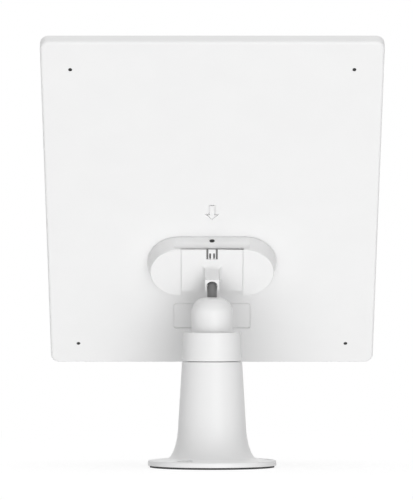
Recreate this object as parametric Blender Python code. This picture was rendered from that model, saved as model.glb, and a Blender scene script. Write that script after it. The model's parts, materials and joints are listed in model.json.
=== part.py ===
"""A small solar panel charger on a round-footed stand.

The panel leans on a tilt hinge at the top of a swivelling neck. Its rear housing slides onto a bracket plate,
a latch keeps it there, and a collar clamps the neck in the post. Lengths are in metres and +Z is up.
The origin is the middle of the foot pad's underside. The panel's back looks toward -Y and down, its cells
toward +Y and up.
"""

import math

import bmesh
import bpy
from mathutils import Matrix, Vector

MM = 0.001

# Fits
CLEARANCE = 0.3 * MM  # between pieces that touch, slide or turn on each other
PIN_CLEARANCE = 0.1 * MM  # radial, round pins and screws
LAYER_GAP = 0.15 * MM  # between the sheets of the panel

# Panel, measured from the middle of the rear housing
PANEL_WIDTH = 155.0 * MM
PANEL_ABOVE = 125.1 * MM
PANEL_BELOW = 61.9 * MM
PANEL_CORNER = 4.0 * MM
PANEL_LEAN = math.radians(39.0)  # from upright, at rest
BACK_FILLET = 1.3 * MM
FRONT_FILLET = 0.4 * MM
SHELL_FLOOR = 1.4 * MM
SHELL_RIM = 1.8 * MM
COVER_RECESS = 0.3 * MM
VENT_DIAMETER = 1.8 * MM
VENT_INSET = 13.4 * MM  # from the sides
VENT_TOP_INSET = 15.0 * MM
VENT_BOTTOM_INSET = 12.1 * MM

# Sheets inside the shell
SEAL_WIDTH = 6.0 * MM
SEAL_THICKNESS = 0.5 * MM
BOARD_THICKNESS = 0.8 * MM
CELL_THICKNESS = 0.3 * MM
CELL_COLUMNS = 3
CELL_ROWS = 4
CELL_GAP = 2.0 * MM
CELL_MARGIN = 3.6 * MM
RIBBON_WIDTH = 1.2 * MM
RIBBON_THICKNESS = 0.15 * MM
COVER_THICKNESS = 1.3 * MM

# Marks on the back
ARROW_TIP = 24.9 * MM
ARROW_LENGTH = 8.7 * MM
ARROW_HEAD_LENGTH = 3.4 * MM
ARROW_HEAD_WIDTH = 6.9 * MM
ARROW_SHAFT_WIDTH = 3.2 * MM
ARROW_RISE = 0.95 * MM
LABEL_WIDTH = 36.7 * MM
LABEL_HEIGHT = 15.1 * MM
LABEL_DROP = 32.85 * MM  # middle of the label below the middle of the housing
LABEL_CORNER = 1.2 * MM
LABEL_THICKNESS = 0.3 * MM
LABEL_SINK = 0.1 * MM  # face of the label below the back

# Rear housing, a stadium with a T-slot down its middle
HOUSING_DEPTH = 8.5 * MM
HOUSING_RADIUS = 15.05 * MM  # at the panel
HOUSING_DRAFT = 1.5 * MM  # radius lost from the panel to the face
HOUSING_EDGE = 0.4 * MM
HOUSING_WALL = 1.6 * MM
HOUSING_FACE = 1.5 * MM
LOBE_OFFSET = 15.4 * MM  # middle of each round end from the middle of the housing
CHANNEL_EDGE = 0.85 * MM  # channel wall inside the lobe's middle
SLOT_UNDERCUT = 2.95 * MM
SLOT_FLOOR = 2.0 * MM
SLOT_LIP = 2.2 * MM
SLOT_TOP = 10.8 * MM
SCOOP_TOP_DEPTH = 3.85 * MM
SCOOP_BOTTOM_DEPTH = 7.5 * MM
SCOOP_BOTTOM = 11.7 * MM
KEEPER_WIDTH = 4.2 * MM
KEEPER_RISE = 0.55 * MM
RELEASE_DIAMETER = 2.5 * MM
RELEASE_DEPTH = 2.55 * MM

# Housing screws and the parts in the right lobe
SCREW_ACROSS = 5.4 * MM  # outward from the lobe's middle
SCREW_UP = 9.8 * MM
SCREW_RADIUS = 0.8 * MM
SCREW_LENGTH = 5.3 * MM
SCREW_HEAD_RADIUS = 1.7 * MM
SCREW_HEAD_HEIGHT = 0.6 * MM
BOSS_WALL = 1.1 * MM
REGULATOR_WIDTH = 6.6 * MM
REGULATOR_BOTTOM = -3.4 * MM
REGULATOR_TOP = 6.0 * MM
REGULATOR_THICKNESS = 0.8 * MM
REGULATOR_DEPTH = 2.2 * MM  # its near face out of the back
REGULATOR_POST_RADIUS = 0.8 * MM
INDUCTOR_SIDE = 3.0 * MM
INDUCTOR_HEIGHT = 1.6 * MM
CAPACITOR_RADIUS = 1.2 * MM
CAPACITOR_HEIGHT = 1.7 * MM
DIODE_LENGTH = 2.4 * MM
DIODE_WIDTH = 1.4 * MM
DIODE_HEIGHT = 0.9 * MM
CHIP_SIDE = 2.0 * MM
CHIP_HEIGHT = 0.7 * MM
LEAD_RADIUS = 0.4 * MM
LEAD_SPACING = 4.0 * MM
GLAND_ANGLE = math.radians(-38.0)
GLAND_RADIUS = 1.7 * MM
GLAND_BORE = 1.0 * MM
GLAND_LENGTH = 3.9 * MM
GLAND_PROUD = 0.2 * MM

# Bracket plate, its arm and the latch
PLATE_TOP = 13.6 * MM
PLATE_BOTTOM = 10.7 * MM
PLATE_FLANGE = 0.7 * MM
PIVOT_STANDOFF = 15.7 * MM  # tilt axis out of the panel's back
PIVOT_DROP = 1.7 * MM  # tilt axis below the middle of the housing
ARM_NOSE = 2.2 * MM  # arm's end past the tilt axis
ARM_ABOVE = 5.0 * MM  # arm's top above the tilt axis
ARM_BELOW = 1.6 * MM
ARM_CHEEK = 0.75 * MM
ARM_FILLET = 1.9 * MM  # where the arm meets the plate
ARM_ROOF = 1.0 * MM
ARM_EDGE = 0.4 * MM
HINGE_PIN_RADIUS = 0.8 * MM
LATCH_WIDTH = 3.5 * MM
LATCH_SLIT = 0.9 * MM
LATCH_THICKNESS = 1.6 * MM
LATCH_ROOM = 1.5 * MM  # clear behind the latch
LATCH_AXIS_UP = 8.9 * MM
LATCH_GROOVE_WIDTH = 0.8 * MM
LATCH_GROOVE_OFFSET = 0.92 * MM
LATCH_GROOVE_DEPTH = 1.3 * MM
LATCH_GROOVE_TOP = 11.6 * MM
TRUNNION_RADIUS = 0.45 * MM
TRUNNION_REACH = 0.8 * MM

# Neck, stem and collar
NECK_RADIUS = 9.7 * MM
NECK_RISE = 16.4 * MM  # above the collar
NECK_SHOULDER = 7.0 * MM
NECK_STEP = 1.3 * MM  # from the neck to its journal
JOURNAL_LENGTH = 23.9 * MM
STEM_RADIUS = 2.25 * MM
STEM_SEAT = 16.0 * MM  # length of the stem inside the neck
PIVOT_RISE = 5.6 * MM  # tilt axis above the neck
COLLAR_HEIGHT = 13.7 * MM
COLLAR_WALL = 1.8 * MM
COLLAR_TAPER = 0.5 * MM
COLLAR_LIP = 1.7 * MM
COLLAR_EDGE = 0.5 * MM
CLAMP_RING_THICKNESS = 1.4 * MM
CLAMP_RING_HEIGHT = 3.0 * MM
CLAMP_RING_SPLIT = 1.2 * MM
WASHER_THICKNESS = 0.5 * MM
RETAINER_LIP = 0.6 * MM  # retaining washer past the journal
RETAINER_THICKNESS = 0.8 * MM
RETAINER_SCREW_RADIUS = 1.4 * MM
RETAINER_SCREW_LENGTH = 12.0 * MM
RETAINER_HEAD_RADIUS = 2.8 * MM
RETAINER_HEAD_HEIGHT = 2.0 * MM

# Post and foot
POST_HEIGHT = 49.2 * MM  # ground to the seam under the collar
POST_LEDGE = 0.1 * MM  # post past the collar at the seam
POST_TAPER = 0.0585  # radius gained per length going down
POST_EDGE = 0.4 * MM
FLARE_HEIGHT = 14.0 * MM
FLARE_REACH = 4.5 * MM
FLANGE_RADIUS = 30.0 * MM
FLANGE_THICKNESS = 2.4 * MM  # at its edge
FLANGE_CROWN = 0.8 * MM
FLANGE_EDGE = 0.7 * MM
FIXING_COUNT = 3
FIXING_DIAMETER = 4.2 * MM
FIXING_HEAD_DIAMETER = 7.4 * MM
FIXING_HEAD_DEPTH = 1.0 * MM
FIXING_TURN = math.radians(-119.0)  # first fixing hole, from +X
BASE_PLATE_REACH = 1.5 * MM  # base plate past the post's own radius
BASE_PLATE_THICKNESS = 2.0 * MM
BASE_SCREW_RADIUS = 0.9 * MM
BASE_SCREW_LENGTH = 8.0 * MM
BASE_SCREW_HEAD_RADIUS = 1.8 * MM
BASE_SCREW_HEAD_HEIGHT = 0.8 * MM
PAD_THICKNESS = 0.6 * MM
PAD_INSET = 0.9 * MM

# Smoothness of round pieces
TURNED_STEPS = 40
SMALL_STEPS = 16
CORNER_STEPS = 6
FILLET_STEPS = 3
FLARE_STEPS = 7

WELD = 0.000001
PAST = 1.0 * MM  # how far a cutter reaches past what it cuts
SINK = 0.3 * MM  # how far shapes that are joined reach into each other
SMOOTH_ANGLE = math.radians(35.0)


# Heights of the stand, from the ground up
flange_bottom = PAD_THICKNESS + CLEARANCE
flange_top = flange_bottom + FLANGE_THICKNESS
collar_bottom = POST_HEIGHT + CLEARANCE
collar_top = POST_HEIGHT + COLLAR_HEIGHT
lip_bottom = collar_top - COLLAR_LIP
ring_top = lip_bottom - CLEARANCE
ring_bottom = ring_top - CLAMP_RING_HEIGHT
washer_top = ring_bottom - CLEARANCE
washer_bottom = washer_top - WASHER_THICKNESS
spigot_top = washer_bottom - CLEARANCE
neck_top = collar_top + NECK_RISE
neck_bottom = ring_bottom
journal_bottom = neck_bottom - JOURNAL_LENGTH
retainer_top = journal_bottom - CLEARANCE
retainer_bottom = retainer_top - RETAINER_THICKNESS
pivot_height = neck_top + PIVOT_RISE

# Radii of the stand, from the axis out
journal_radius = NECK_RADIUS - NECK_STEP
bore_radius = journal_radius + CLEARANCE
retainer_radius = journal_radius + RETAINER_LIP
retainer_bore = retainer_radius + CLEARANCE
ring_inner = NECK_RADIUS + CLEARANCE
ring_outer = ring_inner + CLAMP_RING_THICKNESS
spigot_radius = ring_outer
collar_bore = ring_outer + CLEARANCE
collar_top_radius = collar_bore + COLLAR_WALL
collar_bottom_radius = collar_top_radius + COLLAR_TAPER
post_top_radius = collar_bottom_radius + POST_LEDGE

# Depths of the panel, from its back toward the sun
seal_back = SHELL_FLOOR + LAYER_GAP
board_back = seal_back + SEAL_THICKNESS + LAYER_GAP
cells_back = board_back + BOARD_THICKNESS + LAYER_GAP
ribbons_back = cells_back + CELL_THICKNESS + LAYER_GAP
cover_back = ribbons_back + RIBBON_THICKNESS + LAYER_GAP
panel_front = cover_back + COVER_THICKNESS + COVER_RECESS
sheet_inset = SHELL_RIM + CLEARANCE

# The housing and the bracket plate, across and out of the panel's back
channel_half = LOBE_OFFSET - CHANNEL_EDGE
slot_half = channel_half + SLOT_UNDERCUT
slot_lip_depth = HOUSING_DEPTH - SLOT_LIP
lobe_wall = slot_half + HOUSING_WALL
rail_half = slot_half - CLEARANCE
rail_near = SLOT_FLOOR + CLEARANCE
rail_far = slot_lip_depth - CLEARANCE
plate_half = channel_half - CLEARANCE
rail_top = SLOT_TOP - CLEARANCE
flange_near = HOUSING_DEPTH - PLATE_FLANGE
pivot_up = -PIVOT_DROP
arm_end = PIVOT_STANDOFF + ARM_NOSE
arm_slot = 2 * (STEM_RADIUS + CLEARANCE)
arm_width = arm_slot + 2 * ARM_CHEEK
latch_depth = HOUSING_DEPTH - LATCH_THICKNESS / 2


def clear_scene():
    for obj in list(bpy.data.objects):
        bpy.data.objects.remove(obj)


def finish(name, colour, roughness, metallic=0.0):
    """A Principled material."""
    material = bpy.data.materials.new(name)
    material.use_nodes = True
    shader = material.node_tree.nodes["Principled BSDF"]
    shader.inputs["Base Color"].default_value = (*colour, 1.0)
    shader.inputs["Roughness"].default_value = roughness
    shader.inputs["Metallic"].default_value = metallic
    return material


def axis_empty(name, location, parent=None, turn=0.0):
    """An empty that marks a joint's axis or a frame, turned about X."""
    empty = bpy.data.objects.new(name, None)
    bpy.context.scene.collection.objects.link(empty)
    empty.parent = parent
    empty.location = location
    empty.rotation_euler = (turn, 0.0, 0.0)
    return empty


def mesh_object(name, shape, parent, location):
    mesh = bpy.data.meshes.new(name)
    shape.to_mesh(mesh)
    shape.free()
    obj = bpy.data.objects.new(name, mesh)
    bpy.context.scene.collection.objects.link(obj)
    obj.parent = parent
    obj.location = location
    return obj


def piece(name, shape, material, parent=None, location=(0.0, 0.0, 0.0)):
    """One sub-part as an object, shaded smooth but for its sharp edges."""
    obj = mesh_object(name, shape, parent, location)
    obj.data.materials.append(material)
    obj.data.shade_smooth()
    obj.data.set_sharp_from_angle(angle=SMOOTH_ANGLE)
    return obj


def copies(name, shape, material, parent, places, turn=0.0):
    """One object for each place, sharing one mesh and turned about X."""
    first = piece(f"{name}_1", shape, material, parent, places[0])
    first.rotation_euler = (turn, 0.0, 0.0)
    for i, place in enumerate(places[1:], start=2):
        copy = bpy.data.objects.new(f"{name}_{i}", first.data)
        bpy.context.scene.collection.objects.link(copy)
        copy.parent = parent
        copy.location = place
        copy.rotation_euler = first.rotation_euler


def combine(target, shape, operation):
    """Adds a Boolean whose helper shape is given in the target's own frame."""
    helper = mesh_object(f"{target.name}_tool", shape, target, (0.0, 0.0, 0.0))
    helper.hide_render = True
    helper.display_type = "WIRE"
    modifier = target.modifiers.new(operation.lower(), "BOOLEAN")
    modifier.operation = operation
    modifier.object = helper
    modifier.solver = "EXACT"


def cut(target, shape):
    combine(target, shape, "DIFFERENCE")


def join(target, shape):
    combine(target, shape, "UNION")


def group(shapes):
    """Several separate bodies in one shape."""
    together = bmesh.new()
    for shape in shapes:
        scratch = bpy.data.meshes.new("scratch")
        shape.to_mesh(scratch)
        shape.free()
        together.from_mesh(scratch)
        bpy.data.meshes.remove(scratch)
    return together


def loft(rings, looped=False):
    """A closed body through rings of as many points each, capped or looped back to its first ring."""
    shape = bmesh.new()
    loops = [[shape.verts.new(point) for point in ring] for ring in rings]
    pairs = list(zip(loops, loops[1:]))
    if looped:
        pairs.append((loops[-1], loops[0]))
    else:
        shape.faces.new(loops[0])
        shape.faces.new(loops[-1])
    for low, high in pairs:
        for i, corner in enumerate(low):
            shape.faces.new((corner, low[i - 1], high[i - 1], high[i]))
    bmesh.ops.recalc_face_normals(shape, faces=shape.faces)
    return shape


def at_depth(outline, y):
    """Points of an (x, z) outline at one depth."""
    return [(x, y, z) for x, z in outline]


def slab(outline, near, far):
    """An (x, z) outline given thickness along Y."""
    return loft([at_depth(outline, near), at_depth(outline, far)])


def side_prism(outline, half_width):
    """A (y, z) outline given width along X, to both sides of the middle."""
    return loft([[(x, y, z) for y, z in outline] for x in (-half_width, half_width)])


def box(low, high):
    shape = bmesh.new()
    middle = (Vector(low) + Vector(high)) / 2
    size = Vector(high) - Vector(low)
    place = Matrix.Translation(middle) @ Matrix.Diagonal((*size, 1.0))
    bmesh.ops.create_cube(shape, size=1.0, matrix=place)
    return shape


def rod(start, end, radius):
    """A round bar from one point to another."""
    shape = bmesh.new()
    along = Vector(end) - Vector(start)
    turn = along.to_track_quat("Z", "Y").to_matrix().to_4x4()
    place = Matrix.Translation((Vector(start) + Vector(end)) / 2) @ turn
    bmesh.ops.create_cone(
        shape,
        cap_ends=True,
        segments=SMALL_STEPS,
        radius1=radius,
        radius2=radius,
        depth=along.length,
        matrix=place,
    )
    return shape


def turned(profile, steps=TURNED_STEPS):
    """A body spun about Z from a (radius, height) outline, closed or with both ends on the axis."""
    shape = bmesh.new()
    points = [shape.verts.new((radius, 0.0, height)) for radius, height in profile]
    edges = [shape.edges.new(pair) for pair in zip(points, points[1:])]
    if profile[0][0] > 0:
        edges.append(shape.edges.new((points[-1], points[0])))
    bmesh.ops.spin(
        shape,
        geom=points + edges,
        cent=(0, 0, 0),
        axis=(0, 0, 1),
        angle=math.tau,
        steps=steps,
        use_merge=True,
    )
    bmesh.ops.remove_doubles(shape, verts=shape.verts, dist=WELD)
    bmesh.ops.recalc_face_normals(shape, faces=shape.faces)
    return shape


def arc(centre, radius, start, end, steps):
    """Points of an arc, angles in degrees."""
    angles = [math.radians(start + (end - start) * i / steps) for i in range(steps + 1)]
    return [(centre[0] + radius * math.cos(a), centre[1] + radius * math.sin(a)) for a in angles]


def rounded_rectangle(left, right, bottom, top, radius):
    corners = [
        ((right - radius, top - radius), 0),
        ((left + radius, top - radius), 90),
        ((left + radius, bottom + radius), 180),
        ((right - radius, bottom + radius), 270),
    ]
    return [p for centre, start in corners for p in arc(centre, radius, start, start + 90, CORNER_STEPS)]


def stadium(radius):
    """Outline of the housing, round about the middles of its two lobes."""
    right = arc((LOBE_OFFSET, 0.0), radius, -90, 90, 2 * CORNER_STEPS)
    left = arc((-LOBE_OFFSET, 0.0), radius, 90, 270, 2 * CORNER_STEPS)
    return right + left


def panel_outline(inset):
    half = PANEL_WIDTH / 2 - inset
    return rounded_rectangle(-half, half, inset - PANEL_BELOW, PANEL_ABOVE - inset, PANEL_CORNER - inset)


def sheet(inset, near, far):
    """A full sheet of the panel."""
    return slab(panel_outline(inset), near, far)


def housing_radius(depth):
    return HOUSING_RADIUS - HOUSING_DRAFT * depth / HOUSING_DEPTH


def screw_places():
    """Where the housing's screws stand, in (x, z)."""
    across = LOBE_OFFSET + SCREW_ACROSS
    return [(side * across, up) for side in (-1, 1) for up in (-SCREW_UP, SCREW_UP)]


def lead_places():
    across = lobe_wall + CLEARANCE + 2 * LEAD_RADIUS
    middle = (REGULATOR_BOTTOM + REGULATOR_TOP) / 2
    return [(across, middle - LEAD_SPACING / 2), (across, middle + LEAD_SPACING / 2)]


def vent_places():
    across = PANEL_WIDTH / 2 - VENT_INSET
    heights = (VENT_BOTTOM_INSET - PANEL_BELOW, PANEL_ABOVE - VENT_TOP_INSET)
    return [(side * across, up) for side in (-1, 1) for up in heights]


def arrow_outline():
    """A block arrow pointing down."""
    head = ARROW_HEAD_WIDTH / 2
    shaft = ARROW_SHAFT_WIDTH / 2
    neck = ARROW_TIP + ARROW_HEAD_LENGTH
    top = ARROW_TIP + ARROW_LENGTH
    right = [(head, neck), (shaft, neck), (shaft, top)]
    left = [(-x, z) for x, z in reversed(right)]
    return [(0, ARROW_TIP), *right, *left]


def label_outline(inset):
    half = LABEL_WIDTH / 2 - inset
    bottom = -LABEL_DROP - LABEL_HEIGHT / 2 + inset
    top = -LABEL_DROP + LABEL_HEIGHT / 2 - inset
    return rounded_rectangle(-half, half, bottom, top, LABEL_CORNER - inset)


def rear_shell(material, dock):
    rings = []
    for i in range(FILLET_STEPS + 1):
        a = math.pi / 2 * i / FILLET_STEPS
        inset = BACK_FILLET * (1 - math.sin(a))
        rings.append(at_depth(panel_outline(inset), BACK_FILLET * (1 - math.cos(a))))
    for i in range(FILLET_STEPS):
        a = math.pi / 2 * i / (FILLET_STEPS - 1)
        inset = FRONT_FILLET * (1 - math.cos(a))
        rings.append(at_depth(panel_outline(inset), panel_front - FRONT_FILLET * (1 - math.sin(a))))
    shell = piece("rear_shell", loft(rings), material, dock)
    cut(shell, sheet(SHELL_RIM, SHELL_FLOOR, panel_front + PAST))
    through = (-PAST, SHELL_FLOOR + PAST)
    label_depth = LABEL_SINK + LABEL_THICKNESS + LAYER_GAP
    cut(shell, slab(label_outline(0.0), -PAST, label_depth))
    join(shell, slab(arrow_outline(), -ARROW_RISE, SINK))
    holes = [(vent_places(), VENT_DIAMETER / 2)]
    holes.append((screw_places(), SCREW_RADIUS + CLEARANCE))
    holes.append((lead_places(), LEAD_RADIUS + CLEARANCE))
    bars = []
    for places, radius in holes:
        bars += [rod((x, through[0], z), (x, through[1], z), radius) for x, z in places]
    cut(shell, group(bars))
    pocket = SHELL_FLOOR - SCREW_HEAD_HEIGHT - CLEARANCE - PIN_CLEARANCE
    heads = [
        rod((x, pocket, z), (x, through[1], z), SCREW_HEAD_RADIUS + CLEARANCE) for x, z in screw_places()
    ]
    cut(shell, group(heads))


def perimeter_seal(material, dock):
    near = seal_back
    far = seal_back + SEAL_THICKNESS
    outer = panel_outline(sheet_inset)
    inner_half = PANEL_WIDTH / 2 - sheet_inset - SEAL_WIDTH
    inner_bottom = sheet_inset + SEAL_WIDTH - PANEL_BELOW
    inner_top = PANEL_ABOVE - sheet_inset - SEAL_WIDTH
    inner = rounded_rectangle(-inner_half, inner_half, inner_bottom, inner_top, PANEL_CORNER - sheet_inset)
    rings = [at_depth(outer, near), at_depth(outer, far), at_depth(inner, far), at_depth(inner, near)]
    piece("perimeter_seal", loft(rings, looped=True), material, dock)


def spread(low, high, count):
    """Length of each cell in a row or a column, and the middles of the cells."""
    length = (high - low - (count - 1) * CELL_GAP) / count
    return length, [low + length / 2 + i * (length + CELL_GAP) for i in range(count)]


def solar_cells(cell_material, ribbon_material, dock):
    """The cells, and two ribbons down each column of them."""
    inset = sheet_inset + CELL_MARGIN
    bottom = inset - PANEL_BELOW
    top = PANEL_ABOVE - inset
    width, columns = spread(inset - PANEL_WIDTH / 2, PANEL_WIDTH / 2 - inset, CELL_COLUMNS)
    height, rows = spread(bottom, top, CELL_ROWS)
    cell = box((-width / 2, 0.0, -height / 2), (width / 2, CELL_THICKNESS, height / 2))
    places = [(x, cells_back, z) for x in columns for z in rows]
    copies("solar_cell", cell, cell_material, dock, places)
    ribbon = box((-RIBBON_WIDTH / 2, 0.0, bottom), (RIBBON_WIDTH / 2, RIBBON_THICKNESS, top))
    places = [(x + side * width / 4, ribbons_back, 0.0) for x in columns for side in (-1, 1)]
    copies("cell_ribbon", ribbon, ribbon_material, dock, places)


def lobe_hollow(side, inner, near, far):
    """One lobe's room, a D that the slot's wall cuts off."""
    rings = []
    for depth in (near, far):
        radius = housing_radius(depth) - inner
        reach = math.degrees(math.acos((lobe_wall - LOBE_OFFSET) / radius))
        points = arc((LOBE_OFFSET, 0.0), radius, -reach, reach, 2 * CORNER_STEPS)
        rings.append([(side * x, -depth, z) for x, z in points])
    return loft(rings)


def gland_axis():
    """Middle line of the cable gland: its inner and outer ends."""
    depth = HOUSING_DEPTH / 2
    outward = Vector((math.cos(GLAND_ANGLE), 0.0, math.sin(GLAND_ANGLE)))
    middle = Vector((LOBE_OFFSET, -depth, 0.0))
    reach = housing_radius(depth) + GLAND_PROUD
    return middle + outward * (reach - GLAND_LENGTH), middle + outward * reach


def regulator_box():
    """Edges of the regulator board in x, from the slot's wall outward."""
    left = lobe_wall + CLEARANCE
    return left, left + REGULATOR_WIDTH


def regulator_posts():
    left = regulator_box()[0]
    across = left + 2 * REGULATOR_POST_RADIUS
    reach = 2 * REGULATOR_POST_RADIUS
    return [(across, REGULATOR_BOTTOM + reach), (across, REGULATOR_TOP - reach)]


def mount_housing(material, dock):
    steps = range(FILLET_STEPS)
    rings = [at_depth(stadium(housing_radius(CLEARANCE)), -CLEARANCE)]
    for i in steps:
        a = math.pi / 2 * i / (FILLET_STEPS - 1)
        depth = HOUSING_DEPTH - HOUSING_EDGE * (1 - math.sin(a))
        rings.append(at_depth(stadium(housing_radius(depth) - HOUSING_EDGE * (1 - math.cos(a))), -depth))
    housing = piece("mount_housing", loft(rings), material, dock)
    room_far = HOUSING_DEPTH - HOUSING_FACE
    cut(housing, group([lobe_hollow(side, HOUSING_WALL, -PAST, room_far) for side in (-1, 1)]))
    boss_radius = SCREW_RADIUS + PIN_CLEARANCE + BOSS_WALL
    join(
        housing,
        group(
            [
                rod((x, -room_far - SINK, z), (x, -CLEARANCE - PIN_CLEARANCE, z), boss_radius)
                for x, z in screw_places()
            ]
        ),
    )
    board_far = REGULATOR_DEPTH + REGULATOR_THICKNESS + CLEARANCE
    posts = [
        rod((x, -room_far - SINK, z), (x, -board_far, z), REGULATOR_POST_RADIUS) for x, z in regulator_posts()
    ]
    join(housing, group(posts))
    below = -HOUSING_RADIUS - PAST
    cut(housing, box((-slot_half, -slot_lip_depth, below), (slot_half, -SLOT_FLOOR, SLOT_TOP)))
    mouth_far = -HOUSING_DEPTH - PAST
    cut(housing, box((-channel_half, mouth_far, below), (channel_half, SINK - slot_lip_depth, SLOT_TOP)))
    above = HOUSING_RADIUS + PAST
    scoop_top = housing_radius(SCOOP_TOP_DEPTH)
    slope = (scoop_top - SCOOP_BOTTOM) / (SCOOP_BOTTOM_DEPTH - SCOOP_TOP_DEPTH)
    crest_depth = SCOOP_TOP_DEPTH - (above - scoop_top) / slope
    scoop = [(-crest_depth, above), (-SCOOP_BOTTOM_DEPTH, SCOOP_BOTTOM), (-SCOOP_BOTTOM_DEPTH, above)]
    cut(housing, side_prism(scoop, slot_half))
    cut(housing, box((-channel_half, mouth_far, SLOT_TOP - SINK), (channel_half, -SCOOP_BOTTOM_DEPTH, above)))
    keeper_near = SCOOP_TOP_DEPTH
    keeper_far = SCOOP_BOTTOM_DEPTH - PIN_CLEARANCE
    keeper_low = SCOOP_BOTTOM + slope * PIN_CLEARANCE
    keeper = [
        (-keeper_near, scoop_top - KEEPER_RISE),
        (-keeper_near, scoop_top + SINK / 2),
        (-keeper_far, keeper_low + KEEPER_RISE),
        (-keeper_far, keeper_low - KEEPER_RISE),
    ]
    join(housing, side_prism(keeper, KEEPER_WIDTH / 2))
    release = rod((0, -RELEASE_DEPTH, SLOT_TOP - PAST), (0, -RELEASE_DEPTH, above), RELEASE_DIAMETER / 2)
    inner, outer = gland_axis()
    along = (outer - inner).normalized() * PAST
    gland_hole = rod(inner - along, outer + along, GLAND_RADIUS + CLEARANCE)
    hole_far = SCREW_LENGTH - SHELL_FLOOR + CLEARANCE
    screw_holes = [
        rod((x, -hole_far, z), (x, PAST, z), SCREW_RADIUS + PIN_CLEARANCE) for x, z in screw_places()
    ]
    cut(housing, group([release, gland_hole, *screw_holes]))


def headed_screw(radius, length, head_radius, head_height):
    """A screw along Z, its head at the origin and its shank above."""
    profile = [
        (0.0, 0.0),
        (head_radius, 0.0),
        (head_radius, head_height),
        (radius, head_height),
        (radius, length - radius),
        (0.0, length),
    ]
    return turned(profile, SMALL_STEPS)


def housing_screws(material, dock):
    """Four screws, driven from inside the shell into the housing's bosses."""
    head_face = SHELL_FLOOR - PIN_CLEARANCE
    screw = headed_screw(SCREW_RADIUS, SCREW_LENGTH, SCREW_HEAD_RADIUS, SCREW_HEAD_HEIGHT)
    places = [(x, head_face, z) for x, z in screw_places()]
    copies("housing_screw", screw, material, dock, places, math.pi / 2)


def regulator(materials, dock):
    """The charging board with what it carries, and the two leads from the cells."""
    left, right = regulator_box()
    near = -REGULATOR_DEPTH
    far = near - REGULATOR_THICKNESS
    board = box((left, far, REGULATOR_BOTTOM), (right, near, REGULATOR_TOP))
    piece("regulator_board", board, materials["board"], dock)
    outer = far - LAYER_GAP
    inner = near + LAYER_GAP
    middle = (REGULATOR_BOTTOM + REGULATOR_TOP) / 2
    side_x = right - CLEARANCE - INDUCTOR_SIDE / 2
    half = INDUCTOR_SIDE / 2
    coil = box(
        (side_x - half, outer - INDUCTOR_HEIGHT, middle + LAYER_GAP),
        (side_x + half, outer, middle + LAYER_GAP + INDUCTOR_SIDE),
    )
    piece("power_inductor", coil, materials["package"], dock)
    cap_z = middle - CAPACITOR_RADIUS - CLEARANCE
    can = rod((side_x, outer - CAPACITOR_HEIGHT, cap_z), (side_x, outer, cap_z), CAPACITOR_RADIUS)
    piece("smoothing_capacitor", can, materials["can"], dock)
    diode_x = left + DIODE_WIDTH / 2 + CLEARANCE
    diode = box(
        (diode_x - DIODE_WIDTH / 2, outer - DIODE_HEIGHT, middle - DIODE_LENGTH / 2),
        (diode_x + DIODE_WIDTH / 2, outer, middle + DIODE_LENGTH / 2),
    )
    piece("blocking_diode", diode, materials["package"], dock)
    chip_low = (right - CLEARANCE - CHIP_SIDE, inner, middle - CHIP_SIDE / 2)
    chip_high = (right - CLEARANCE, inner + CHIP_HEIGHT, middle + CHIP_SIDE / 2)
    piece("controller_chip", box(chip_low, chip_high), materials["package"], dock)
    lead = rod((0.0, inner, 0.0), (0.0, board_back - LAYER_GAP, 0.0), LEAD_RADIUS)
    copies("panel_lead", lead, materials["lead"], dock, [(x, 0.0, z) for x, z in lead_places()])


def cable_gland(material, dock):
    inner, outer = gland_axis()
    gland = piece("cable_gland", rod(inner, outer, GLAND_RADIUS), material, dock)
    along = (outer - inner).normalized() * PAST
    cut(gland, rod(inner - along, outer + along, GLAND_BORE))


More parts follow.
